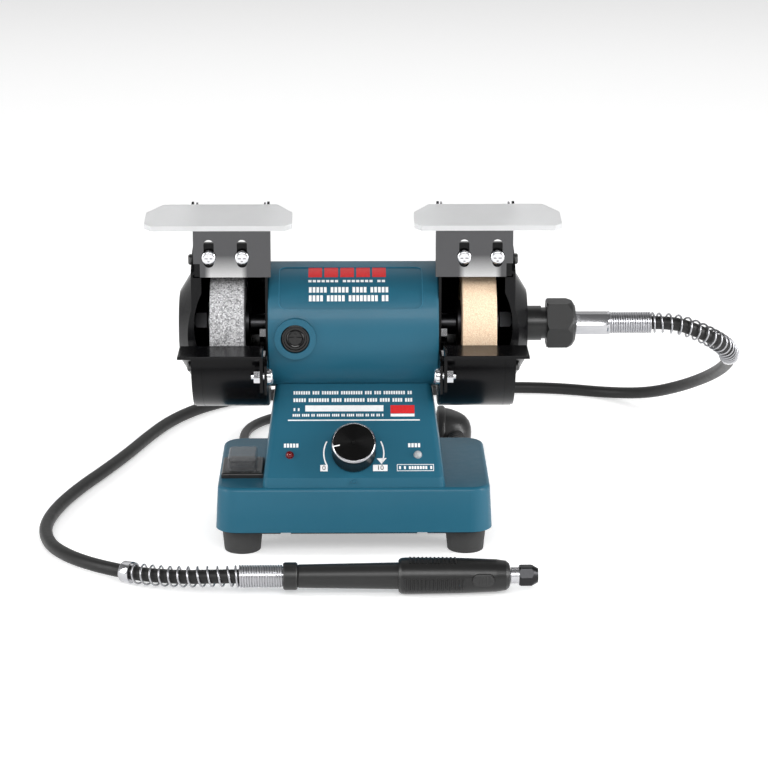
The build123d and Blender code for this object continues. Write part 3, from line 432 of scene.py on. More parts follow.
FERRULE_FLATS = 12.6
FLATS_TO_CORNER = 1732.05
FERRULE_BAR = 0.0197
hexagon = bmesh.new()
bmesh.ops.create_cone(hexagon, cap_ends=True, segments=6, radius1=FERRULE_FLATS / FLATS_TO_CORNER,
                      radius2=FERRULE_FLATS / FLATS_TO_CORNER, depth=FERRULE_BAR)
bmesh.ops.bevel(hexagon, geom=hexagon.edges, offset=0.0005, affect="EDGES", segments=3, profile=0.5,
                material=-1)
moved(hexagon, Matrix.Translation((0.14215, 0.010, 0.126)) @ Matrix.Rotation(math.radians(90), 4, "Y"))
motor_core = turned([(131.5, 0.5), (131.5, 5.6), (177, 5.6), (177, 4.1), (170, 3.9), (170, 0.5),
                     (131.5, 0.5)], 40)
moved(motor_core, Matrix.Translation((0, 0.010, 0.126)))
collar_ring = turned([(151.6, 5.0), (151.6, 6.6), (152.1, 6.9), (153.0, 6.9), (153.5, 6.4), (153.5, 5.0),
                      (151.6, 5.0)], 48)
moved(collar_ring, Matrix.Translation((0, 0.010, 0.126)))
hand_core = turned([(-64, 4.1), (-64, 5.6), (-40, 5.6), (-40, 0.5), (-58, 0.5), (-58, 4.0), (-64, 4.1)], 40)
moved(hand_core, Matrix.Translation((0, -0.1155, 0.0104)))
ferrules = new_piece("hose_ferrules", joined(hexagon, motor_core, collar_ring, hand_core))
sharp_edges(ferrules, 25)
ferrules.data.materials.append(bright_plate)

for piece in (motor_spring, hand_spring, spring_bands, ferrules):
    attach(piece, "root")
for piece in (motor_spring, hand_spring, spring_bands):
    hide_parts("bend_springs")
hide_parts("shaft_ferrules")

# ---------------------------------------------------------------- handpiece
# A slim tool handle in matt black glass-filled nylon: a collar, a long tapered sleeve and a thicker grip with
# moulded ribs.  The spindle inside is steel and ends in a blackened collet nut.


def moulded(name, level, rough, texture=0.0004, depth=0.00002, tint=(1, 1, 1)):
    """Moulded plastic with a fine spark-eroded texture."""
    skin = Finish(name, {"Specular IOR Level": 0.38})
    cloud = skin.noise(0.03, 3)
    dark = (*(level * 0.85 * t for t in tint), 1)
    light = (*(level * 1.2 * t for t in tint), 1)
    skin.link("Base Color", skin.blend(cloud, dark, light))
    skin.link("Roughness", skin.noise(0.003, 4) * 0.14 + (rough - 0.07))
    skin.bump(skin.noise(texture, 2), depth, 0.7)
    return skin.material


def dress(material, *names):
    """Give CAD nodes their finish."""
    for name in names:
        for slot in nodes[name].material_slots:
            slot.material = material


HAND_Y, HAND_Z = -0.1155, 0.0104
black_nylon = moulded("black_nylon", 0.013, 0.38)
grip_nylon = moulded("grip_nylon", 0.01, 0.32)
black_steel = metal("blackened_steel", (0.035, 0.035, 0.037), 0.3)
turned_steel = metal("turned_steel", (0.58, 0.58, 0.60), 0.26, stretch=(8, 1, 1))
dress(black_nylon, "handpiece_sleeve")
dress(grip_nylon, "handpiece_grip")
dress(turned_steel, "handpiece_spindle", "handpiece_bearings")
dress(black_steel, "collet_nut")


def grip_radius(x):
    """Radius of the grip, in millimetres."""
    return 10.35 - 0.35 * (x - 29) / 31 if x < 60 else 10.0 - 0.8 * (x - 60) / 20


def rib_arc(x, radius, width, height, start, sweep, steps=14):
    """One low moulded rib that runs part of the way round the X axis, in millimetres and degrees."""
    shape = bmesh.new()
    outline = [(-width / 2, -0.3), (-width / 2, height * 0.3), (-width / 4, height), (width / 4, height),
               (width / 2, height * 0.3), (width / 2, -0.3)]
    corners = [shape.verts.new(((x + a) / 1000, 0, (radius + b) / 1000)) for a, b in outline]
    face = shape.faces.new(corners)
    bmesh.ops.rotate(shape, cent=(0, 0, 0), matrix=Matrix.Rotation(math.radians(start), 3, "X"),
                     verts=shape.verts)
    edges = list(face.edges)
    bmesh.ops.spin(shape, geom=list(shape.verts) + edges + [face], cent=(0, 0, 0), axis=(1, 0, 0),
                   angle=math.radians(sweep), steps=steps)
    bmesh.ops.recalc_face_normals(shape, faces=shape.faces)
    return shape


RIB_PITCH = 2.3
ribs = []
for k in range(12):
    x = 31.5 + k * RIB_PITCH
    ribs.append(rib_arc(x, grip_radius(x), 1.2, 0.55, -14, 44))
for k in range(15):
    x = 28.8 + k * RIB_PITCH
    ribs.append(rib_arc(x, grip_radius(x), 1.2, 0.55, 82, 50))
grip_ribs = new_piece("grip_ribs", moved(joined(*ribs), Matrix.Translation((0, HAND_Y, HAND_Z))))
sharp_edges(grip_ribs, 50)
grip_ribs.data.materials.append(grip_nylon)
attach(grip_ribs, "root")

# The spindle lock is a separate grey-black button, pressed with the thumb, with ribs across it.

BUTTON_X, BUTTON_TURN = 72.5, 88
button_black = moulded("button_black", 0.022, 0.42)
dress(button_black, "lock_button")
button_bars = [rib_arc(BUTTON_X - 4 + 2 * k, 10.5, 0.9, 0.3, BUTTON_TURN - 13, 26, 6) for k in range(5)]
button_ribs = new_piece("button_ribs", moved(joined(*button_bars), Matrix.Translation((0, HAND_Y, HAND_Z))))
sharp_edges(button_ribs, 50)
button_ribs.data.materials.append(button_black)
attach(button_ribs, "lock_button")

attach(hose, "root")
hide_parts("flexible_hose")

# ---------------------------------------------------------------- mains cord
# Black PVC lead, 6.5 mm thick.  It leaves the gland at the back of the base, runs to a neat tied coil of
# spare length behind the machine and ends in an angled round plug.

CORD_THICK = 0.0065
CORD_OUT = [(-40, 60, 28), (-40, 72, 28), (-40, 88, 28), (-45, 111, 17), (-58, 132, 6), (-69, 156, 3.3),
            (-75, 184, 3.3), (-71, 214, 3.3), (-55, 238, 3.3), (-28, 251, 3.3), (0, 253, 3.6), (24, 242, 3.9),
            (38, 219, 3.95)]
CORD_BACK = [(4, 143, 8), (-6, 127, 5), (-9.5, 111, 3.6), (-9, 95.5, 3.3), (-3.5, 81.5, 3.3), (7, 71, 3.3),
             (21, 65, 4.2), (36.3, 65, 7), (50.3, 71, 11), (61, 81.5, 15), (66.5, 95.5, 17.6),
             (66.5, 110, 17.6), (66.5, 118, 17.6)]
COIL_CENTRE = (0, 190)
COIL_LAYERS = [(40, 3.95), (33.5, 3.95), (27, 3.95), (27, 10.45), (33.5, 10.45), (40, 10.45)]
COIL_STEPS = 12
COIL_TURNS = 5 + 1 / 6
SPLINE_SHRINK = 0.966

coil = []
for k in range(round(COIL_TURNS * COIL_STEPS) + 1):
    layer, step = divmod(k, COIL_STEPS)
    crossing = max(0.0, (step - 9) / 3)
    radius, height = COIL_LAYERS[layer]
    if crossing:
        radius += (COIL_LAYERS[layer + 1][0] - radius) * crossing
        height += (COIL_LAYERS[layer + 1][1] - height) * crossing
    turn = -2 * math.pi * k / COIL_STEPS
    coil.append((COIL_CENTRE[0] + radius / SPLINE_SHRINK * math.cos(turn),
                 COIL_CENTRE[1] + radius / SPLINE_SHRINK * math.sin(turn), height))

cord = route_curve("mains_cord", CORD_OUT + coil + CORD_BACK, CORD_THICK)
cord_pvc = rubber("cord_pvc", 0.02, 0.36)
cord.data.materials.append(cord_pvc)
cord_length = round(length_of(line_of(cord)), 3)

tie = bmesh.new()
bmesh.ops.create_circle(tie, segments=40, radius=1.0, cap_ends=False)
for corner in tie.verts:
    reach = max(abs(corner.co.x), abs(corner.co.y))
    squareness = 0.62 / reach + 0.38
    corner.co.x *= 0.0117 * squareness
    corner.co.y *= 0.0082 * squareness
    corner.co.y = max(corner.co.y, -0.0071)
hoop = bmesh.ops.extrude_edge_only(tie, edges=tie.edges)["geom"]
bmesh.ops.translate(tie, vec=(0, 0, 0.009), verts=[v for v in hoop if isinstance(v, bmesh.types.BMVert)])
bmesh.ops.recalc_face_normals(tie, faces=tie.faces)
bmesh.ops.solidify(tie, geom=tie.faces, thickness=0.0009)
moved(tie, Matrix.Translation((COIL_CENTRE[0] / 1000 - 0.0045, COIL_CENTRE[1] / 1000 + 0.0335, 0.0073))
      @ Matrix.Rotation(math.radians(90), 4, "Z") @ Matrix.Rotation(math.radians(90), 4, "X"))
coil_tie = new_piece("coil_tie", tie)
sharp_edges(coil_tie)
coil_tie.data.materials.append(moulded("tie_black", 0.03, 0.5))

# The gland is a soft black strain relief with a row of grooves, pushed into the back wall of the base.

GLAND_X, GLAND_Z = -0.040, 0.028
grooves = [(55.0, 0.5), (55.0, 7.3), (55.4, 7.5), (56.6, 7.5), (57.0, 7.2), (57.0, 6.2)]
for k in range(6):
    start = 58.0 + 2.3 * k
    wall = 6.2 - 0.14 * (start - 57)
    grooves += [(start, wall), (start + 0.15, wall - 1.0), (start + 1.0, wall - 1.1),
                (start + 1.15, wall - 0.15)]
grooves += [(71.4, 4.25), (72.0, 3.9), (72.0, 3.3), (60.0, 3.3), (60.0, 0.5)]
gland_shape = turned(grooves, 40)
to_rear = Matrix.Translation((GLAND_X, 0, GLAND_Z)) @ Matrix.Rotation(math.radians(90), 4, "Z")
gland = new_piece("ribbed_gland", moved(gland_shape, to_rear))
sharp_edges(gland)
gland.data.materials.append(rubber("gland_rubber", 0.016, 0.5))

# The plug is a moulded angled one: a round black body with the cord's ribbed neck at its side, on two
# plated pins.

PLUG_Y, PLUG_Z = 0.149, 0.0176
plug_body = turned([(55, 0.5), (55, 16.6), (55.6, 17.4), (56.4, 17.6), (58.6, 17.6), (59.4, 17.2),
                    (60.2, 16.2), (64, 15.4), (69, 13.5), (73, 11.2), (76, 7.6), (77.2, 3.8),
                    (77.5, 0.5)], 72)
face_ring = turned([(54.99, 13.6), (54.6, 13.8), (54.6, 14.6), (54.99, 14.8)], 72)
moved(joined(plug_body, face_ring), Matrix.Translation((0, PLUG_Y, PLUG_Z)))
neck_rings = [(-10, 0.5), (-10, 6.4), (2, 5.6)]
for k in range(7):
    start = 3.0 + 3.4 * k
    wall = 5.55 - 0.058 * start
    neck_rings += [(start, wall), (start + 0.25, wall - 0.9), (start + 1.5, wall - 1.0),
                   (start + 1.75, wall - 0.1)]
neck_rings += [(28.6, 4.1), (29, 3.8), (29, 3.3), (12, 3.3), (12, 0.5)]
neck = turned(neck_rings, 40)
moved(neck, Matrix.Translation((0.0665, 0.139, PLUG_Z)) @ Matrix.Rotation(math.radians(-90), 4, "Z"))
plug = new_piece("angled_plug", joined(plug_body, neck))
sharp_edges(plug)
plug.data.materials.append(moulded("plug_black", 0.02, 0.3))
pins = []
for side in (-1, 1):
    sleeve = turned([(36, 0), (36, 1.4), (36.8, 2.2), (38, 2.4), (55.5, 2.4), (55.5, 0)], 32)
    pins.append(moved(sleeve, Matrix.Translation((0, PLUG_Y + side * 0.0095, PLUG_Z))))
plug_pins = new_piece("plug_pins", joined(*pins))
sharp_edges(plug_pins)
plug_pins.data.materials.append(bright_plate)

for piece, slot in ((cord, "rubber"), (coil_tie, "dark_plastic"), (gland, "rubber"), (plug, "gloss_black"),
                    (plug_pins, "chrome")):
    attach(piece, "root")
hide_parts("power_cord", "power_cord_coil")
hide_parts("cord_gland")
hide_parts("plug")
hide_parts("plug")

# ---------------------------------------------------------------- base, neck and motor casing
# Shells with one smooth coat of teal-blue enamel.  The base is closed by a black steel plate and stands on
# four rubber feet; the neck carries the sloping control panel.

TEAL = (0.012, 0.096, 0.152)


def enamel(name, color, rough, peel=0.5, clear=0.06, shine=0.25):
    """Sprayed enamel: almost even colour, faint orange peel and a thin clear gloss."""
    skin = Finish(name, {"Specular IOR Level": shine, "Coat Weight": clear, "Coat Roughness": 0.12})
    cloud = skin.noise(0.05, 4)
    skin.link("Base Color", skin.blend(cloud, (*(c * 0.9 for c in color), 1),
                                       (*(c * 1.08 for c in color), 1)))
    skin.link("Roughness", skin.noise(0.006, 4) * 0.12 + (rough - 0.06))
    skin.bump(skin.noise(0.0014, 2), 0.00003, peel)
    return skin.material


teal_enamel = enamel("teal_enamel", TEAL, 0.42)
black_enamel = enamel("black_enamel", (0.0035, 0.0035, 0.004), 0.2, 0.3, 0.03, 0.14)
satin_black = enamel("satin_black", (0.012, 0.012, 0.013), 0.4, 0.6, 0.0)
foot_rubber = rubber("foot_rubber", 0.03, 0.6)
dress(teal_enamel, "base_housing", "neck_housing", "motor_housing")
dress(satin_black, "bottom_plate")
dress(foot_rubber, "rubber_feet")

# The two brush caps are glossy black phenolic, screwed into round bosses, with a raised ring and a bar for a
# screwdriver or coin.


def block(shape, x, y, z, cuts=0):
    """Add a rectangular block that spans three (low, high) ranges in millimetres, cut along Y."""
    size = Matrix.Diagonal(((x[1] - x[0]) / 1000, (y[1] - y[0]) / 1000, (z[1] - z[0]) / 1000, 1))
    centre = Matrix.Translation(((x[0] + x[1]) / 2000, (y[0] + y[1]) / 2000, (z[0] + z[1]) / 2000))
    made = bmesh.ops.create_cube(shape, size=1.0, matrix=centre @ size)["verts"]
    if cuts:
        runs = {e for v in made for e in v.link_edges if abs((e.verts[0].co - e.verts[1].co).y) > 1e-7}
        bmesh.ops.subdivide_edges(shape, edges=list(runs), cuts=cuts, use_grid_fill=True)


CAP_X, CAP_Z, CAP_FACE = -34, 126, 37.9
cap_profile = [(-7, 0), (-7, 8.3), (-0.7, 8.3), (-0.2, 8.1), (0, 7.6), (0, 6.9), (-0.9, 6.5),
               (-0.9, 5.5), (-0.4, 5.1), (-0.15, 4.7), (-0.4, 4.2), (-1.3, 3.9), (-1.3, 0)]
caps = []
for side in (-1, 1):
    cap = turned(cap_profile, 56)
    block(cap, (-2.0, -0.35), (-3.9, 3.9), (-0.75, 0.75))
    block(cap, (-2.0, -0.5), (-0.75, 0.75), (-2.8, 2.8))
    outward = Matrix.Rotation(math.radians(90 * side), 4, "Z")
    seat = Matrix.Translation((CAP_X / 1000, (10 + side * CAP_FACE) / 1000, CAP_Z / 1000))
    caps.append(moved(cap, seat @ outward))
brush_caps = new_piece("slotted_brush_caps", joined(*caps))
sharp_edges(brush_caps)
brush_caps.data.materials.append(moulded("cap_black", 0.006, 0.18))
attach(brush_caps, "root")
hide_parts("brush_caps")

# ---------------------------------------------------------------- wheel guards, covers, rests and brackets
# Pressed steel guards and covers in gloss black; the rests are the same.  Brackets and hinges are bright
# rolled steel, the brackets with a painted reflection of the wheels low on their plates; the adjusting screws
# and bolts are chromed, and the cover screws are blackened.

rolled_steel = metal_finish("rolled_steel", (0.17, 0.17, 0.175), 0.18, 0.0008, (1, 1, 10), 0.08, 0.8)
chrome = metal("chrome", (0.72, 0.72, 0.74), 0.1)
zinc = metal("zinc_plate", (0.62, 0.62, 0.63), 0.24)
dress(black_enamel, "left_guard", "right_guard", "left_guard_cover", "right_guard_cover", "left_tool_rest",
      "right_tool_rest")
WHEEL_MID = 0.074
# The brackets' colour holds a painted reflection of the wheels: lighter grey low on each plate below a wheel,
# fading upward and to the sides.
painted_reflection_place = rolled_steel.place()
painted_reflection_x = rolled_steel.node("ShaderNodeSeparateXYZ", {}, {"Vector": painted_reflection_place})
painted_reflection_z = rolled_steel.node("ShaderNodeSeparateXYZ", {}, {"Vector": painted_reflection_place}, out="Z")
off_wheel = rolled_steel.node("ShaderNodeMath", {"operation": "ABSOLUTE"}, {0: painted_reflection_x})
off_wheel = rolled_steel.node("ShaderNodeMath", {"operation": "ABSOLUTE"}, {0: off_wheel - WHEEL_MID})
painted_reflection_across = rolled_steel.ramp(off_wheel * 50, 0.45, 0.62, grey(1), grey(0))
painted_reflection_up = rolled_steel.ramp((painted_reflection_z - 0.160) * 50, 0.1, 0.75, grey(1), grey(0))
painted_wheel_reflection = painted_reflection_across * painted_reflection_up
rolled_steel.link("Base Color", rolled_steel.blend(painted_wheel_reflection, (0.085, 0.085, 0.088, 1), (0.5, 0.5, 0.5, 1)))
dress(rolled_steel.material, "left_spark_bracket", "right_spark_bracket")
dress(zinc, "left_shield_hinge", "right_shield_hinge")
dress(chrome, "bracket_screws", "left_rest_clamp", "right_rest_clamp", "guard_bolts")
dress(metal("black_screw", (0.1, 0.1, 0.1), 0.3), "cover_screws")
dress(teal_enamel, "case_screws")

# ---------------------------------------------------------------- eye shields
# Clear polycarbonate 3 mm thick, gone slightly hazy, so that its thickness reads as a pale grey band.

hazy = Finish("hazy_polycarbonate", {"IOR": 1.5, "Transmission Weight": 0.5, "Specular IOR Level": 0.3})
hazy.link("Base Color", hazy.blend(hazy.noise(0.02, 3), (0.76, 0.765, 0.77, 1), (0.84, 0.845, 0.85, 1)))
hazy.link("Roughness", hazy.noise(0.004, 4) * 0.12 + 0.26)
dress(hazy.material, "left_eye_shield", "right_eye_shield")

# ---------------------------------------------------------------- grinding wheels
# Vitrified aluminium oxide, 75 mm across and 20 mm thick: a coarse grey wheel on the left and a fine cream
# one on the right, held by steel flanges and nuts on the spindle.


def grit(name, dark, light, fleck, size, depth):
    """Bonded abrasive grains with open pores between them."""
    skin = Finish(name, {"Specular IOR Level": 0.3})
    cell = skin.grains(size, out="Color")
    one = skin.node("ShaderNodeSeparateColor", {}, {"Color": cell})
    body = skin.blend(one, (*dark, 1), (*light, 1))
    sparkle = skin.ramp(skin.noise(size * 0.8, 2), 0.56, 0.66)
    skin.link("Base Color", skin.blend(sparkle, body, (*fleck, 1)))
    skin.link("Roughness", one * 0.3 + 0.6)
    skin.bump(skin.grains(size) + skin.noise(size * 3, 3) * 0.5, depth, 1.0)
    return skin.material


dress(grit("coarse_grey_grit", (0.16, 0.16, 0.165), (0.56, 0.56, 0.57), (0.78, 0.78, 0.8), 0.0009, 0.0003),
      "coarse_wheel")
dress(grit("fine_cream_grit", (0.72, 0.5, 0.33), (0.9, 0.7, 0.5), (0.95, 0.8, 0.62), 0.0005, 0.0001),
      "fine_wheel")
dress(turned_steel, "spindle_bearings")
dress(black_steel, "spindle_nuts", "wheel_flanges", "spindle_shaft")

# ---------------------------------------------------------------- inside the motor
# A small universal motor: stacked iron, enamelled copper windings, a copper commutator with carbon brushes in
# brass holders, a nylon fan and cast end bells.

enamelled_copper = metal("enamelled_copper", (0.55, 0.2, 0.08), 0.28, 0.0006, (6, 1, 1))
stacked_iron = metal("stacked_iron", (0.3, 0.3, 0.31), 0.42, 0.0006, (12, 1, 1))
dress(enamelled_copper, "field_windings", "commutator")
dress(stacked_iron, "stator_core", "armature")
dress(metal("cast_alloy", (0.5, 0.5, 0.51), 0.5), "end_bells")
dress(metal("brass", (0.75, 0.5, 0.2), 0.3), "brush_holders")
dress(moulded("carbon", 0.02, 0.6), "carbon_brushes")
dress(moulded("fan_nylon", 0.03, 0.4), "cooling_fan")
dress(moulded("board_green", 0.5, 0.4, tint=(0.05, 0.3, 0.1)), "control_board")
dress(moulded("union_black", 0.012, 0.45), "union_nut")
dress(moulded("adaptor_black", 0.012, 0.3), "shaft_adaptor")

# ---------------------------------------------------------------- switch
# A snap-in rocker switch under a clear PVC dust boot.

dress(moulded("switch_black", 0.014, 0.3), "switch_body")
dress(moulded("rocker_black", 0.01, 0.18), "switch_rocker")
boot = Finish("clear_pvc", {"IOR": 1.45, "Specular IOR Level": 0.6})
boot.link("Base Color", boot.blend(boot.noise(0.01, 3), (0.16, 0.17, 0.18, 1), (0.24, 0.24, 0.25, 1)))
boot.link("Roughness", boot.noise(0.004, 4) * 0.1 + 0.04)
grazing = boot.node("ShaderNodeLayerWeight", {}, {"Blend": 0.35}, out="Facing")
boot.link("Alpha", grazing * 0.45 + 0.12)
dress(boot.material, "switch_boot")

# ---------------------------------------------------------------- panel lamps
# Two 5 mm lamps in the sloping panel: red on the left and clear on the right.

lamp = Finish("lamp_epoxy", {"IOR": 1.5, "Transmission Weight": 0.5, "Roughness": 0.12})
across = lamp.node("ShaderNodeSeparateXYZ", {}, {"Vector": lamp.place()})
lamp.link("Base Color", lamp.ramp(across * 100 + 0.5, 0.45, 0.55, (0.25, 0.004, 0.006, 1),
                                  (0.75, 0.78, 0.8, 1)))
dress(lamp.material, "indicator_lights")

# ---------------------------------------------------------------- speed knob
# Turned aluminium, black anodised with a fine spun face, a bright chamfer cut after anodising, shallow flutes
# and a white pointer line.

PANEL_LOW = (-52.0, 48.6)
PANEL_SLOPE = math.atan2(94 - 48.6, 52 - 9.7)
panel = (Matrix.Translation((0, PANEL_LOW[0] / 1000, PANEL_LOW[1] / 1000))
         @ Matrix.Rotation(PANEL_SLOPE, 4, "X"))
KNOB_UP, KNOB_GAP = 16, 0.6
FLUTES = 72
UPRIGHT = Matrix.Rotation(math.radians(-90), 4, "Y")
knob_at = panel @ Matrix.Translation((0, KNOB_UP / 1000, KNOB_GAP / 1000))

body = turned([(0, 0), (0, 12.2), (0.5, 12.9), (12.9, 12.9), (12.95, 13.05), (13.0, 13.05)], FLUTES * 2)
for corner in body.verts:
    around = math.atan2(corner.co.y, corner.co.z)
    if 0.0004 < corner.co.x < 0.0129 and round(around / (math.pi / FLUTES)) % 2:
        corner.co.y *= 0.976
        corner.co.z *= 0.976
knob_body = new_piece("knob_body", moved(body, knob_at @ UPRIGHT))
sharp_edges(knob_body, 50)
rim = new_piece("knob_rim", moved(turned([(12.9, 12.6), (12.9, 13.1), (13.05, 13.15), (13.95, 12.25),
                                          (14.0, 12.05), (13.8, 12.0), (12.9, 12.6)], 128),
                                  knob_at @ UPRIGHT))
face = new_piece("knob_face", moved(turned([(12.5, 0), (12.5, 12.3), (13.85, 12.1), (13.85, 4),
                                            (13.8, 0)], 128), knob_at @ UPRIGHT))
sharp_edges(face, 40)

anodised = metal("black_anodised", (0.02, 0.02, 0.021), 0.3, spread=0.1)
spun = Finish("spun_anodised", {"Metallic": 1.0, "Anisotropic": 0.75})
spun_turn = (-PANEL_SLOPE, 0, 0)
spun_centre = tuple(knob_at.translation)
flat = spun.place((2600, 2600, 2600), spun_turn, spun_centre)
rings = spun.node("ShaderNodeTexWave", {"wave_type": "RINGS", "rings_direction": "SPHERICAL"},
                  {"Vector": flat, "Scale": 1.0, "Distortion": 0.6, "Detail": 2.0})
spun.link("Base Color", spun.ramp(rings, 0.0, 1.0, grey(0.014), grey(0.04)))
spun.link("Roughness", rings * 0.12 + 0.2)
spun.bump(rings, 0.000012, 0.5)
knob_body.data.materials.append(anodised)
rim.data.materials.append(bright_plate)
face.data.materials.append(spun.material)

print_white = Finish("print_white", {"Specular IOR Level": 0.4})
print_white.link("Base Color", print_white.ramp(print_white.noise(0.0015, 3), 0.2, 0.9, grey(0.78),
                                                grey(0.9)))
print_white.link("Roughness", print_white.noise(0.002, 3) * 0.1 + 0.4)


pointer_shape = bmesh.new()
block(pointer_shape, (-12.0, -8.4), (-0.35, 0.35), (13.7, 13.95))
moved(pointer_shape, Matrix.Rotation(math.radians(13), 4, "Z"))
pointer = new_piece("knob_pointer", moved(pointer_shape, knob_at), smooth=False)
pointer.data.materials.append(print_white.material)
for piece in (knob_body, rim, face, pointer):
    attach(piece, "knob")
    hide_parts("speed_knob")

# ---------------------------------------------------------------- panel and label print
# Screen-printed marks in white and red.  The real lines of print are stood for by plain dashes, with only the
# two numbers of the speed dial drawn.

INK = (0.0, 0.07)
random.seed(7)


def dashes(shape, x0, x1, y0, y1, letter, words, depth, cuts=0):
    """A line of print as plain dashes, in word-like groups."""
    x = x0
    while x < x1 - letter * 0.6:
        for _ in range(random.choice(words)):
            if x > x1 - letter * 0.6:
                break
            block(shape, (x, min(x1, x + letter * 0.72)), (y0, y1), depth, cuts)
            x += letter
        x += letter * 0.8


def outline(shape, x, y, line, depth):
    """A hollow rectangle."""
    block(shape, x, (y[0], y[0] + line), depth)
    block(shape, x, (y[1] - line, y[1]), depth)
    block(shape, (x[0], x[0] + line), (y[0] + line, y[1] - line), depth)
    block(shape, (x[1] - line, x[1]), (y[0] + line, y[1] - line), depth)


def arc_band(shape, radius, wide, start, stop, depth, steps=16):
    """A curved printed line round the knob's centre, in millimetres and degrees."""
    centre = Vector((0, KNOB_UP / 1000, 0))
    corners = [shape.verts.new(((radius + a) / 1000, KNOB_UP / 1000, b / 1000))
               for a, b in ((-wide / 2, depth[0]), (wide / 2, depth[0]),
                            (wide / 2, depth[1]), (-wide / 2, depth[1]))]
    first = shape.faces.new(corners)
    bmesh.ops.rotate(shape, cent=centre, matrix=Matrix.Rotation(math.radians(start), 3, "Z"), verts=corners)
    bmesh.ops.spin(shape, geom=corners + list(first.edges) + [first], cent=centre, axis=(0, 0, 1),
                   angle=math.radians(stop - start), steps=steps)


white = bmesh.new()
dashes(white, -35.6, 35.7, 54.9, 57.1, 1.45, (3, 7, 9), INK)
dashes(white, -35.6, 35.7, 49.9, 52.3, 1.55, (4, 5, 8), INK)
dashes(white, -35.5, -30.2, 43.9, 45.8, 1.4, (1,), INK)
block(white, (-28.6, 17.6), (43.6, 47.6), INK)
dashes(white, -36, 17.7, 40.2, 41.9, 1.15, (4, 7, 2), INK)
block(white, (21.8, 35.9), (40.1, 41.9), INK)
block(white, (-38.8, 39), (37.4, 38.15), INK)
dashes(white, -41, -31.6, 19.8, 22.4, 1.8, (5,), INK)
dashes(white, 31.9, 39.8, 19.8, 22.4, 1.9, (4,), INK)
block(white, (-19.6, -15.3), (4.3, 8.4), INK)
block(white, (11.2, 19.7), (4.3, 8.4), INK)
outline(white, (25.2, 46.8), (4.3, 8.7), 0.35, INK)
dashes(white, 26.4, 45.8, 5.5, 7.5, 1.6, (1, 1, 7), INK)
ARC_R, ARC_WIDE = 17.6, 0.8
arc_band(white, ARC_R, ARC_WIDE, 154, 206, INK)
arc_band(white, ARC_R, ARC_WIDE, -20, 26, INK)
ARROW_TIP = ((13.4, 12.6), (16.2, 8.9), (19.2, 12.8))
tip = [white.verts.new((x / 1000, y / 1000, z / 1000)) for z in INK for x, y in ARROW_TIP]
white.faces.new(tip[:3])
white.faces.new(tip[3:])
for a, b in ((0, 1), (1, 2), (2, 0)):
    white.faces.new((tip[a], tip[b], tip[b + 3], tip[a + 3]))
bmesh.ops.recalc_face_normals(white, faces=white.faces)
panel_print = new_piece("panel_print_white", moved(white, panel), smooth=False)
panel_print.data.materials.append(print_white.material)

print_red = Finish("print_red", {"Specular IOR Level": 0.4})
print_red.link("Base Color", print_red.ramp(print_red.noise(0.0015, 3), 0.2, 0.9, (0.55, 0.012, 0.016, 1),
                                            (0.68, 0.02, 0.022, 1)))
print_red.link("Roughness", print_red.noise(0.002, 3) * 0.1 + 0.38)
red = bmesh.new()
block(red, (21.8, 35.9), (42.1, 47.6), INK)
red_print = new_piece("panel_print_red", moved(red, panel), smooth=False)
red_print.data.materials.append(print_red.material)

print_black = Finish("print_black", {"Specular IOR Level": 0.4})
print_black.link("Base Color", print_black.ramp(print_black.noise(0.0015, 3), 0.2, 0.9, grey(0.01),
                                                grey(0.02)))
print_black.link("Roughness", print_black.noise(0.002, 3) * 0.1 + 0.4)


def numeral(text, x, up, size):
    """A printed number, flat on the panel."""
    curve = bpy.data.curves.new("numeral_" + text, "FONT")
    curve.body = text
    curve.size = size / 1000
    curve.align_x = "CENTER"
    curve.align_y = "CENTER"
    curve.extrude = 0.00002
    source = bpy.data.objects.new("numeral_source", curve)
    bpy.context.scene.collection.objects.link(source)
    bpy.context.view_layer.update()
    mesh = bpy.data.meshes.new_from_object(source.evaluated_get(bpy.context.evaluated_depsgraph_get()))
    bpy.data.objects.remove(source)
    mesh.transform(panel @ Matrix.Translation((x / 1000, up / 1000, 0.00009)))
    made = bpy.data.objects.new("numeral_" + text, mesh)
    bpy.context.scene.collection.objects.link(made)
    made.data.materials.append(print_black.material)
    return made


numerals = [numeral("0", -17.45, 6.35, 4.2), numeral("10", 15.45, 6.35, 4.2)]

LABEL_R = 36.8
LABEL_X = -3.0


def wrapped(shape, angle):
    """Wrap a flat print round the motor casing: Y becomes arc length down from an angle off the vertical."""
    for corner in shape.verts:
        x, y, z = corner.co
        turn = math.radians(angle) - y * 1000 / LABEL_R
        reach = LABEL_R / 1000 + z
        corner.co = (x, 0.010 - reach * math.sin(turn), 0.126 + reach * math.cos(turn))
    return shape


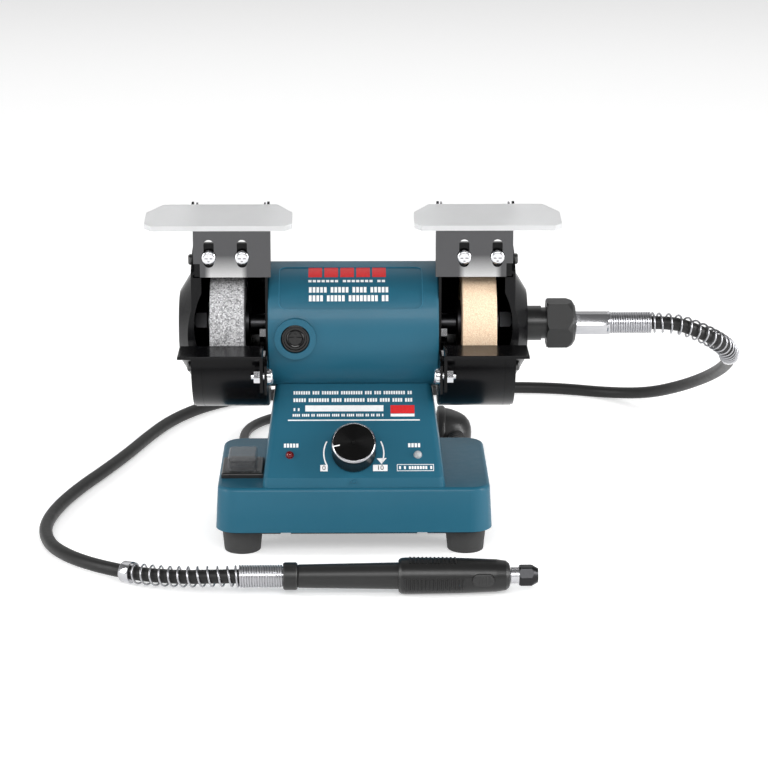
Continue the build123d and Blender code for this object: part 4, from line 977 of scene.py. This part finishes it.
label_white = bmesh.new()
dashes(label_white, LABEL_X - 23, LABEL_X + 23.5, -1.9, 1.9, 2.2, (4, 5, 7), INK, 2)
label_lines = [wrapped(label_white, 43.7)]
label_white = bmesh.new()
dashes(label_white, LABEL_X - 23, LABEL_X + 23.5, -1.9, 1.9, 2.2, (4, 8, 5), INK, 2)
label_lines.append(wrapped(label_white, 52.5))
label_white = bmesh.new()
dashes(label_white, LABEL_X - 23.4, LABEL_X + 23, -0.9, 0.9, 2.6, (7,), INK, 1)
label_lines.append(wrapped(label_white, 33.6))
label_print = new_piece("label_print_white", joined(*label_lines), smooth=False)
label_print.data.materials.append(print_white.material)
emblem = bmesh.new()
for k in range(5):
    start = LABEL_X - 23.4 + 9.4 * k
    block(emblem, (start, start + 8.0), (-5.0, 5.0), (0.0, 0.09), 8)
label_emblem = new_piece("label_print_red", wrapped(emblem, 20.6), smooth=False)
label_emblem.data.materials.append(print_red.material)


# The label lies in a shallow recess, outlined by a raised strip of lighter teal: a painted highlight along
# its edge.

RECESS_X, RECESS_ANGLE, RECESS_HALF_X, RECESS_HALF_Y, RECESS_CORNER = -1.5, 38, 42.0, 16.2, 4.0
edge_shape = bmesh.new()
around = []
for corner_x, corner_y, start in ((1, 1, 0), (-1, 1, 90), (-1, -1, 180), (1, -1, 270)):
    for k in range(7):
        turn = math.radians(start + 15 * k)
        around.append((RECESS_X + corner_x * (RECESS_HALF_X - RECESS_CORNER) + RECESS_CORNER * math.cos(turn),
                       corner_y * (RECESS_HALF_Y - RECESS_CORNER) + RECESS_CORNER * math.sin(turn)))
loops = []
for wide, deep in ((-0.22, -0.2), (-0.22, 0.5), (0.2, 0.56), (0.2, -0.2)):
    loop = []
    for x, y in around:
        out_x, out_y = x - RECESS_X, y
        reach = math.hypot(out_x, out_y)
        loop.append(edge_shape.verts.new(((x + wide * out_x / reach) / 1000,
                                          (y + wide * out_y / reach) / 1000, deep / 1000)))
    loops.append([edge_shape.edges.new(pair) for pair in zip(loop, loop[1:] + loop[:1])])
for first, second in zip(loops, loops[1:] + loops[:1]):
    bmesh.ops.bridge_loops(edge_shape, edges=first + second)
long_edges = [e for e in edge_shape.edges if e.calc_length() > 0.005]
bmesh.ops.subdivide_edges(edge_shape, edges=long_edges, cuts=14, use_grid_fill=True)
bmesh.ops.recalc_face_normals(edge_shape, faces=edge_shape.faces)
label_edge_highlight = new_piece("label_recess_painted_highlight", wrapped(edge_shape, RECESS_ANGLE))
sharp_edges(label_edge_highlight, 50)
# Lighter teal enamel: a painted highlight on the recess edge.
label_edge_highlight.data.materials.append(enamel("teal_painted_highlight", tuple(c * 1.5 + 0.01 for c in TEAL), 0.35))

for piece in (panel_print, red_print, *numerals, label_print, label_emblem, label_edge_highlight):
    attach(piece, "root")
